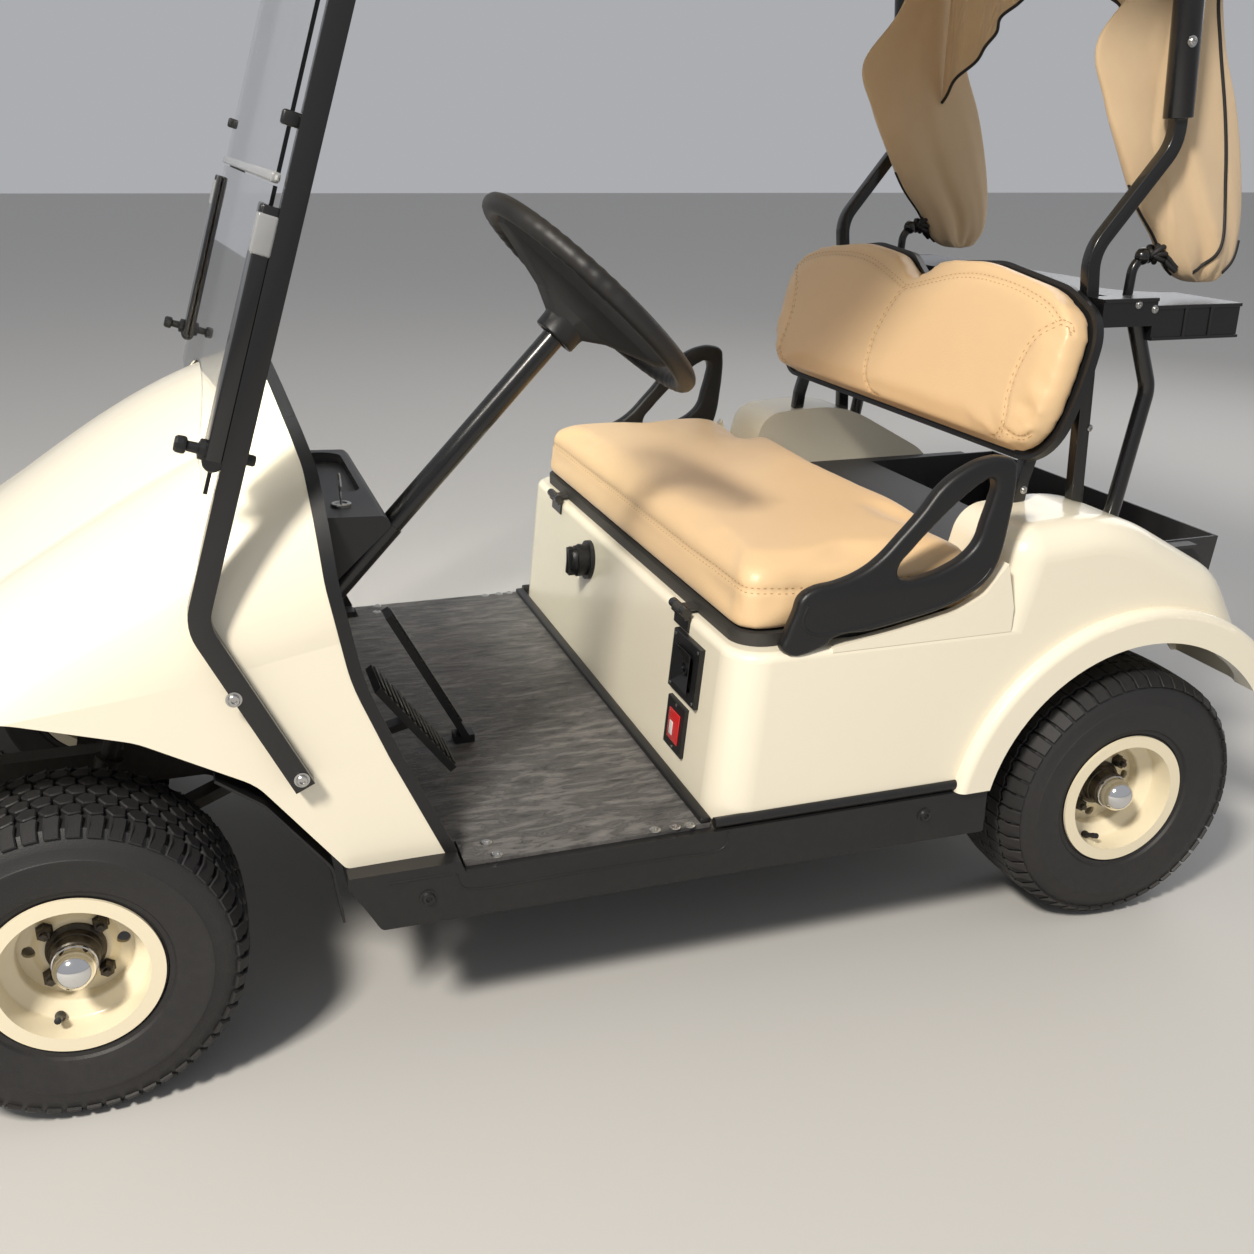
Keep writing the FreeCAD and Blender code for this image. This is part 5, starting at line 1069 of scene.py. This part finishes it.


# Struts, rails, rack and seat frame: bent and welded steel bar, powder coated, glossy where new and
# dusty low down. Real bar has rounded corners, so the struts, rails and seat frame are drawn again
# with their edges turned.
SOOT = (0.006, 0.006, 0.0068)
RAIL_TOP = 1.190
RAIL_AHEAD = 0.024
EDGE_RADIUS = 0.0025
EDGE_ANGLE = math.radians(35)
FLAT_ANGLE = math.radians(1.0)
powder_coat = finish_material("black_steel", SOOT, 0.27, (420.0, 0.00006, 1.0), dust=0.08, dust_top=0.42,
                              mottle=0.2, Coat_Weight=0.35, Coat_Roughness=0.12)
coat(powder_coat, "front_struts", "windshield_rails", "rear_struts", "bag_rack", "seat_back_frame",
     "steering_column", "seat_hinges")


def with_round_edges(name, cut_above=None):
    """A copy of a CAD node with flat faces joined and its edges rounded, which stands for the node."""
    piece = node_copy(name)
    bpy.ops.object.mode_set(mode="EDIT")
    bpy.ops.mesh.select_all(action="SELECT")
    if cut_above:
        middle = by_strut(cut_above, 0) @ Vector((RAIL_AHEAD, 0, 0))
        bpy.ops.mesh.bisect(plane_co=middle, plane_no=(-STRUT_SLOPE, 0, 1), use_fill=True, clear_outer=True)
        bpy.ops.mesh.select_all(action="SELECT")
    bpy.ops.mesh.dissolve_limited(angle_limit=FLAT_ANGLE)
    bpy.ops.object.mode_set(mode="OBJECT")
    apply_modifier(piece, "BEVEL", width=EDGE_RADIUS, segments=3, limit_method="ANGLE",
                   angle_limit=EDGE_ANGLE, use_clamp_overlap=True)
    bpy.ops.object.shade_smooth_by_angle(angle=EDGE_ANGLE)
    hang(piece, name + "_finished", "body", powder_coat, [name])


with_round_edges("front_struts")
with_round_edges("rear_struts")
with_round_edges("windshield_rails", cut_above=RAIL_TOP)
with_round_edges("seat_back_frame")


# Hip restraints: one-piece black mouldings with a round grab bar over a flat panel. A raised lip runs
# along the panel's lower edge.
HOOP_MIDDLE_Y = 0.565
HOOP_HALF = 0.013
HOOP_ROUNDING = 0.0085
HOOP_LIP_RADIUS = 0.0026
HOOP_LIP_SINK = 0.0012
# Columns: x, height
HOOP_OUTLINE = [(-0.207, 0.572), (-0.212, 0.594), (-0.225, 0.628), (-0.233, 0.651), (-0.251, 0.663),
                (-0.292, 0.670), (-0.331, 0.683), (-0.360, 0.702), (-0.388, 0.730), (-0.420, 0.764),
                (-0.452, 0.803), (-0.490, 0.828), (-0.525, 0.840), (-0.553, 0.8405), (-0.573, 0.832),
                (-0.5775, 0.812), (-0.5775, 0.780), (-0.573, 0.733), (-0.567, 0.692), (-0.559, 0.668),
                (-0.546, 0.648), (-0.519, 0.629), (-0.473, 0.611), (-0.411, 0.598), (-0.350, 0.588),
                (-0.290, 0.583), (-0.276, 0.572)]
HOOP_WINDOW = [(-0.391, 0.670), (-0.402, 0.664), (-0.436, 0.665), (-0.476, 0.677), (-0.506, 0.694),
               (-0.522, 0.713), (-0.530, 0.741), (-0.539, 0.774), (-0.542, 0.800), (-0.536, 0.808),
               (-0.520, 0.804), (-0.495, 0.788), (-0.466, 0.764), (-0.438, 0.738), (-0.410, 0.709),
               (-0.390, 0.684)]
HOOP_LIP = [(-0.243, 0.640), (-0.236, 0.616), (-0.245, 0.600), (-0.300, 0.594), (-0.411, 0.609),
            (-0.473, 0.621), (-0.514, 0.638), (-0.538, 0.655), (-0.550, 0.672)]


def moulded_plate(name, outlines, half, rounding):
    """A plate over closed outlines, the second and later ones holes, with rounded edges."""
    curve = bpy.data.curves.new(name, "CURVE")
    curve.dimensions = "2D"
    curve.fill_mode = "BOTH"
    curve.extrude = half - rounding
    curve.bevel_depth = rounding
    curve.bevel_resolution = 4
    curve.offset = -rounding
    curve.resolution_u = 5
    for index, outline in enumerate(outlines):
        area = sum(a[0] * b[1] - b[0] * a[1] for a, b in zip(outline, outline[1:] + outline[:1]))
        ordered = outline if (area > 0) == (index == 0) else outline[::-1]
        soft_spline(curve, [(x, height, 0) for x, height in ordered], True)
    piece = new_piece(name, mesh_of(curve))
    weld(piece, 0.00002)
    piece.data.transform(about("X", 90))
    return piece


hoops = []
for side in (1, -1):
    hoop = moulded_plate("hoop", [HOOP_OUTLINE, HOOP_WINDOW], HOOP_HALF, HOOP_ROUNDING)
    hoop.data.transform(Matrix.Translation((0, side * HOOP_MIDDLE_Y, 0)))
    hoops.append(hoop)
    outside = side * (HOOP_MIDDLE_Y + HOOP_HALF - HOOP_LIP_SINK)
    lip_line = smooth_line([Vector((x, outside, height)) for x, height in HOOP_LIP], 0.004)
    hoops.append(thread("hoop_lip", [lip_line], HOOP_LIP_RADIUS, 3))
hoops = join_all(hoops)
smooth_under(hoops, 40)
hang(hoops, "hip_hoops", "body", moulded_black, ["hip_restraints"])


# Sills: each extruded sill has a step moulded round its tread, a lip at its front end, black
# button-head bolts low on its face, and a soft black rubber lip along the body's foot.
SILL_FACE_Y = 0.585
STEP_SINK = 0.0003
STEP_RADIUS = 0.0016
# Columns: x, height
TREAD_STEP = [(0.289, 0.294), (0.287, 0.284), (0.280, 0.271), (0.262, 0.266), (0.109, 0.2645),
              (-0.051, 0.2625), (-0.112, 0.262), (-0.123, 0.267), (-0.1275, 0.280), (-0.128, 0.292)]
FRONT_LIP = [(0.385, 0.2965), (0.294, 0.2965)]
BOLT_PLACES = [(0.331, 0.264), (-0.470, 0.264)]
# Columns: height above the face, radius
BOLT_SECTION = [(0.0, 0.0125), (0.0012, 0.0125), (0.0016, 0.0100), (0.0050, 0.0082), (0.0062, 0.0045),
                (0.0040, 0.0040), (0.0040, 0.0003), (0.0, 0.0003)]
FOOT_LIP_X = (-0.109, -0.126, -0.300, -0.560)
FOOT_LIP_Y = 0.5745
FOOT_LIP_HEIGHT = 0.3045
FOOT_LIP_RADIUS = 0.0085
sill_parts = []
for side in (1, -1):
    for points in (TREAD_STEP, FRONT_LIP):
        places = [Vector((x, side * (SILL_FACE_Y - STEP_SINK), height)) for x, height in points]
        sill_parts.append(thread("sill_step", [smooth_line(places, 0.004)], STEP_RADIUS, 3))
    for x, height in BOLT_PLACES:
        bolt = spun(BOLT_SECTION, 24)
        bolt.data.transform(Matrix.Translation((x, side * SILL_FACE_Y, height)) @ facing(side))
        sill_parts.append(bolt)
    foot = smooth_line([Vector((x, side * FOOT_LIP_Y, FOOT_LIP_HEIGHT)) for x in FOOT_LIP_X], 0.006)
    sill_parts.append(thread("foot_lip", [foot], FOOT_LIP_RADIUS, 8))
hang(join_all(sill_parts), "sill_trim", "body", moulded_black)


# Floor mat: grey slate-patterned rubber. A black strip closes it against the kick panel, and hollow
# zinc rivets hold it at its corners.
MAT_TOP = 0.301
RIVET_SECTION = [(0.0, 0.0090), (0.0012, 0.0088), (0.0022, 0.0070), (0.0022, 0.0046), (0.0006, 0.0040),
                 (0.0006, 0.0003), (0.0, 0.0003)]
# Columns: x, y on the left side
RIVET_PLACES = [(0.232, 0.523), (0.225, 0.561), (-0.018, 0.562), (-0.050, 0.563), (-0.073, 0.5645)]


def slate_material():
    """Grey rubber moulded like split slate, in long wavering slabs with creases between."""
    material, tree, shader, place = new_material("mat_rubber")
    stretched = node(tree, "Mapping", Vector=place, Scale=(1.0, 3.2, 1.0))[0]
    drift = node(tree, "TexNoise", Vector=stretched, Scale=6.0, Detail=3.0)[1]
    bent = node(tree, "Mix", {"data_type": "VECTOR"}, i0=0.14, i4=stretched, i5=drift)[1]
    slabs = node(tree, "TexNoise", Vector=bent, Scale=19.0, Detail=8.0, Roughness=0.66)[0]
    away = maths(tree, "ABSOLUTE", maths(tree, "SUBTRACT", slabs, 0.5))
    crease = node(tree, "MapRange", Value=away, i1=0.0, i2=0.008)[0]
    relief = maths(tree, "MULTIPLY_ADD", crease, 0.11, slabs)
    # Painted shade and light: darker where the relief is low, in the creases and low slabs, lighter on raised
    # slabs.
    relief_light_and_shade = node(tree, "MapRange", Value=relief, i1=0.44, i2=0.84)[0]
    feed(tree, shader, Base_Color=between(tree, relief_light_and_shade, (0.040, 0.039, 0.039), (0.21, 0.20, 0.19)),
         Normal=node(tree, "Bump", Height=relief, Strength=1.0, Distance=0.005)[0], Roughness=0.5)
    return material


slate = slate_material()
coat(slate, "floor_mat")
edging = box_shape((-0.1075, -0.566, MAT_TOP - 0.001), (-0.090, 0.566, MAT_TOP + 0.009), 0.003)
hang(edging, "mat_edging", "body", moulded_black)
rivets = []
for x, y in RIVET_PLACES:
    for side in (1, -1):
        rivet = spun(RIVET_SECTION, 20)
        rivet.data.transform(Matrix.Translation((x, side * y, MAT_TOP)) @ about("X", 90))
        rivets.append(rivet)
hang(join_all(rivets), "mat_rivets", "body", zinc)


# Pedal pads: ribbed rubber treads pressed over the brake plate and the accelerator bar.
RIB_LIFT = 0.0072
RIB_HALF = (0.0032, 0.0022)
RIB_INSET = 0.004


def ribbed_pad(name, low_end, high_end, y0, y1, ribs):
    """A rubber tread along a sloping pedal, with cross ribs."""
    low_end = Vector(low_end)
    run = Vector(high_end) - low_end
    up = Vector((-run.z, 0, run.x)).normalized()
    if up.x > 0:
        up = -up
    half_width, half_height = RIB_HALF
    parts = []
    for i in range(ribs):
        at = low_end + run * ((i + 0.5) / ribs) + up * RIB_LIFT
        rib = box_shape((-half_width, y0 + RIB_INSET, -half_height),
                        (half_width, y1 - RIB_INSET, half_height), 0.0012, 2)
        slope = math.atan2(run.z, run.x)
        rib.data.transform(Matrix.Translation(at) @ Matrix.Rotation(-slope, 4, "Y"))
        parts.append(rib)
    hang(join_all(parts), name, "body", moulded_black)


ribbed_pad("brake_tread", (0.246, 0, 0.348), (0.356, 0, 0.496), 0.268, 0.366, 13)
ribbed_pad("accelerator_tread", (0.200, 0, 0.3385), (0.308, 0, 0.545), 0.142, 0.188, 24)


# Kick panel: four small screws hold the charge socket, whose funnel ends in a round contact well,
# and the indicator shows a red field under a clear window.
KICK_FACE_X = -0.108
KICK_RUN = 0.027
KICK_FOOT = 0.295
KICK_TOP = 0.568
KICK_SLOPE = math.atan2(KICK_RUN, KICK_TOP - KICK_FOOT)
SOCKET_PLACE = (0.407, 0.491)
SOCKET_SCREW_LIFT = 0.0090
FIELD_SCREW_LIFT = 0.0070
# Columns: height above the panel, radius
WELL_SECTION = [(-0.002, 0.012), (0.0045, 0.012), (0.0045, 0.0085), (0.000, 0.0075), (0.000, 0.0003),
                (-0.002, 0.0003)]
PIN_SECTION = [(0.0, 0.0030), (0.007, 0.0028), (0.008, 0.0018), (0.008, 0.0003), (0.0, 0.0003)]
SMALL_SCREW_SECTION = [(0.0, 0.0030), (0.0008, 0.0028), (0.0013, 0.0014), (0.0013, 0.0003), (0.0, 0.0003)]
# Columns: y, height, lift
SMALL_SCREWS = [(0.360, 0.449, SOCKET_SCREW_LIFT), (0.454, 0.449, SOCKET_SCREW_LIFT),
                (0.360, 0.533, SOCKET_SCREW_LIFT), (0.454, 0.533, SOCKET_SCREW_LIFT),
                (0.393, 0.3495, FIELD_SCREW_LIFT), (0.393, 0.4215, FIELD_SCREW_LIFT)]
# Columns: piece, half width, half height, thickness, rounding, y, height, lift
FIELD = ("indicator_field", 0.0225, 0.0255, 0.0022, 0.0009, 0.393, 0.3855, 0.0068)
LIGHT = ("indicator_light", 0.0065, 0.0115, 0.0012, 0.0005, 0.386, 0.3805, 0.0086)
lamp_red = finish_material("indicator_red", (0.62, 0.02, 0.02), 0.22, mottle=0.02, Coat_Weight=0.8)
lamp_white = finish_material("indicator_white", (0.75, 0.72, 0.70), 0.25, mottle=0.02, Coat_Weight=0.8)


def on_kick(piece, y, z, lift):
    """Stand a piece, made lying about the origin with +X outwards, on the kick panel's sloping face."""
    face = KICK_FACE_X - KICK_RUN * (z - KICK_FOOT) / (KICK_TOP - KICK_FOOT)
    piece.data.transform(Matrix.Translation((face + lift, y, z)) @ Matrix.Rotation(-KICK_SLOPE, 4, "Y"))
    return piece


for lamp, (name, half_y, half_z, thickness, rounding, y, z, lift) in ((lamp_red, FIELD), (lamp_white, LIGHT)):
    block = box_shape((0, -half_y, -half_z), (thickness, half_y, half_z), rounding)
    hang(on_kick(block, y, z, lift), name, "body", lamp)
bpy.ops.mesh.primitive_cone_add(vertices=4, radius1=0.046, radius2=0.012, depth=0.013,
                                end_fill_type="NOTHING")
funnel = bpy.context.object
bpy.ops.object.mode_set(mode="EDIT")
bpy.ops.mesh.select_all(action="SELECT")
bpy.ops.mesh.flip_normals()
bpy.ops.object.mode_set(mode="OBJECT")
funnel.data.transform(about("Y", -90) @ about("Z", 45))
apply_modifier(funnel, "SOLIDIFY", thickness=0.0012, offset=1)
socket_parts = [on_kick(funnel, *SOCKET_PLACE, 0.0075)]
for section, steps in ((WELL_SECTION, 24), (PIN_SECTION, 12)):
    part = spun(section, steps)
    part.data.transform(about("Z", -90))
    socket_parts.append(on_kick(part, *SOCKET_PLACE, 0.0045))
hang(join_all(socket_parts), "charge_socket", "body", moulded_black)
small_screws = []
for y, z, lift in SMALL_SCREWS:
    screw = spun(SMALL_SCREW_SECTION, 12)
    screw.data.transform(about("Z", -90))
    small_screws.append(on_kick(screw, y, z, lift))
hang(join_all(small_screws), "panel_screws", "body", zinc)


# Direction selector: an oval moulded knob with a raised grip bar down its face turns on a round
# collar in the kick panel.
SELECTOR_PLACE = (-0.128, 0.508, 0.0160)
SELECTOR_STRETCH = 1.22
SELECTOR_SQUASH = 0.92
# Columns: height above the panel, radius
SELECTOR_SECTION = [(0.0, 0.0255), (0.0085, 0.0265), (0.0120, 0.0240), (0.0130, 0.0215), (0.0190, 0.0205),
                    (0.0225, 0.0175), (0.0240, 0.0120), (0.0245, 0.0003), (0.0, 0.0003)]
selector = spun(SELECTOR_SECTION, 48)
oval = Matrix.Scale(SELECTOR_STRETCH, 4, (0, 0, 1)) @ Matrix.Scale(SELECTOR_SQUASH, 4, (1, 0, 0))
selector.data.transform(about("Z", -90) @ oval)
smooth_under(selector, 32)
grip_bar = box_shape((0.0180, -0.0055, -0.0270), (0.0300, 0.0055, 0.0270), 0.0042, 4)
selector_parts = [on_kick(piece, *SELECTOR_PLACE) for piece in (selector, grip_bar)]
hang(join_all(selector_parts), "selector_grip", "body", moulded_black)


# Ignition key: a steel key with a ring bow stands in a round lock on the driver's shelf.
LOCK_PLACE = Vector((0.400, 0.440, 0.8035))
KEY_LIFT = 0.003
BOW_HEIGHT = 0.030
LOCK_SECTION = [(0.0, 0.014), (0.0035, 0.014), (0.0045, 0.0125), (0.0045, 0.0085), (0.0030, 0.0080),
                (0.0030, 0.0003), (0.0, 0.0003)]
BOW_SECTION = [(-0.0011, 0.0125), (0.0011, 0.0125), (0.0011, 0.0050), (-0.0011, 0.0050)]
lock = spun(LOCK_SECTION, 32)
lock.data.transform(Matrix.Translation(LOCK_PLACE) @ about("X", 90))
hang(lock, "key_lock", "body", zinc)
key = box_shape((-0.0011, -0.0040, 0.0), (0.0011, 0.0040, 0.020), 0.0008, 2)
key_bow = spun(BOW_SECTION, 24)
key_bow.data.transform(Matrix.Translation((0, 0, BOW_HEIGHT)) @ about("Z", 90))
whole_key = join_all([key, key_bow])
whole_key.data.transform(Matrix.Translation(LOCK_PLACE + Vector((0, 0, KEY_LIFT))))
hang(whole_key, "ignition_key", "body", zinc)


# Roof: a moulded canopy with a round rain channel let into its top, all round near the rim.
CHANNEL_INSET = 0.050
CHANNEL_CORNER = 0.070
CHANNEL_RADIUS = 0.009
CHANNEL_LIFT = 0.0040
roof_low, roof_high = (Vector(corner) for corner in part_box("roof"))
channel_line = []
for quarter, (cx, cy) in enumerate(((1, 1), (0, 1), (0, 0), (1, 0))):
    x = roof_high.x - CHANNEL_INSET - CHANNEL_CORNER if cx else roof_low.x + CHANNEL_INSET + CHANNEL_CORNER
    y = (roof_high.y - CHANNEL_INSET - CHANNEL_CORNER) * (1 if cy else -1)
    for i in range(9):
        angle = math.radians(90 * quarter + 90 * i / 8)
        channel_line.append(Vector((x + CHANNEL_CORNER * math.cos(angle),
                                    y + CHANNEL_CORNER * math.sin(angle), roof_high.z + CHANNEL_LIFT)))
channel = thread("channel", [channel_line], CHANNEL_RADIUS, 6, closed=True)
canopy = node_copy("roof")
apply_modifier(canopy, "BOOLEAN", operation="DIFFERENCE", object=channel, solver="EXACT")
bpy.data.objects.remove(channel)
smooth_under(canopy, 30)
hang(canopy, "roof_moulding", "body", ivory, ["roof"])


# Batteries: six lead-acid blocks under the seat. Each has a lid with three round filler caps and two
# lead posts, and flat insulated links join them in series.
BATTERY_TOP = 0.540
BATTERY_LENGTH = 0.155
BATTERY_WIDTH = 0.220
BATTERY_MIDDLE_X = -0.345
LID_GAP = 0.004
LID_SINK = 0.002
LID_HEIGHT = 0.006
CAP_PITCH = 0.052
POST_X = 0.052
POST_Y = 0.088
LINK_SIZE = Vector((0.018, 0.060, 0.005))
# Columns: height above the lid, radius
VENT_SECTION = [(0.0, 0.0170), (0.0035, 0.0170), (0.0045, 0.0140), (0.0095, 0.0130), (0.0105, 0.0110),
                (0.0105, 0.0003), (0.0, 0.0003)]
POST_SECTION = [(0.0, 0.0095), (0.0060, 0.0085), (0.0065, 0.0070), (0.0115, 0.0066), (0.0120, 0.0003),
                (0.0, 0.0003)]
battery_black = finish_material("battery_case", (0.03, 0.03, 0.032), 0.45, (500.0, 0.0001, 0.4), dust=0.8,
                                dust_top=0.7, mottle=0.25)
coat(battery_black, "battery_pack")
vent_cap = spun(VENT_SECTION, 20)
lead_post = spun(POST_SECTION, 20)


def on_lid(model, middle, x, y):
    """A copy of a turned part, stood on a battery's lid."""
    piece = new_piece("on_lid", model.data.copy())
    piece.data.transform(Matrix.Translation(middle + Vector((x, y, LID_HEIGHT))) @ about("X", 90))
    return piece


cap_parts = []
post_parts = []
link_parts = []
for column in (-0.5, 0.5):
    post_x = math.copysign(POST_X, column)
    for row in (-1, 0, 1):
        middle = Vector((BATTERY_MIDDLE_X + column * BATTERY_LENGTH, row * BATTERY_WIDTH, BATTERY_TOP))
        reach = Vector((BATTERY_LENGTH / 2 - LID_GAP, BATTERY_WIDTH / 2 - LID_GAP, 0))
        cap_parts.append(box_shape(middle - reach + Vector((0, 0, -LID_SINK)),
                                   middle + reach + Vector((0, 0, LID_HEIGHT)), 0.003))
        cap_parts += [on_lid(vent_cap, middle, 0, i * CAP_PITCH) for i in (-1, 0, 1)]
        post_parts += [on_lid(lead_post, middle, post_x, i * POST_Y) for i in (-1, 1)]
        if row < 1:
            start = middle + Vector((post_x - LINK_SIZE.x / 2, 0.080, 0.010))
            link_parts.append(box_shape(start, start + LINK_SIZE, 0.0018))
bpy.data.objects.remove(vent_cap)
bpy.data.objects.remove(lead_post)
hang(join_all(cap_parts), "battery_lids", "body", battery_black)
hang(join_all(post_parts), "battery_posts", "body", plated)
hang(join_all(link_parts), "battery_links", "body", edge_tape)


# Rack ends: the tray's ends have a folded lip along their top and foot, and two upright ribs.
RACK_OUTER_Y = 0.470
RACK_SINK = 0.001
RACK_HEIGHT = 1.022
RACK_ROUNDING = 0.0012
# Columns: rear end, front end, thickness, low edge, high edge
RACK_STRIPS = [(-1.040, -0.872, 0.0030, 0.0110, 0.0165), (-0.876, -0.775, 0.0030, 0.0230, 0.0285),
               (-0.985, -0.9795, 0.0028, -0.0375, 0.0160), (-0.935, -0.9295, 0.0028, -0.0375, 0.0160),
               (-1.040, -0.872, 0.0030, -0.0378, -0.0330)]
rack_parts = []
for side in (1, -1):
    for rear_end, front_end, thickness, low_edge, high_edge in RACK_STRIPS:
        inner, outer = sorted((side * (RACK_OUTER_Y - RACK_SINK), side * (RACK_OUTER_Y + thickness)))
        rack_parts.append(box_shape((rear_end, inner, RACK_HEIGHT + low_edge),
                                    (front_end, outer, RACK_HEIGHT + high_edge), RACK_ROUNDING))
hang(join_all(rack_parts), "rack_lips", "body", moulded_black)
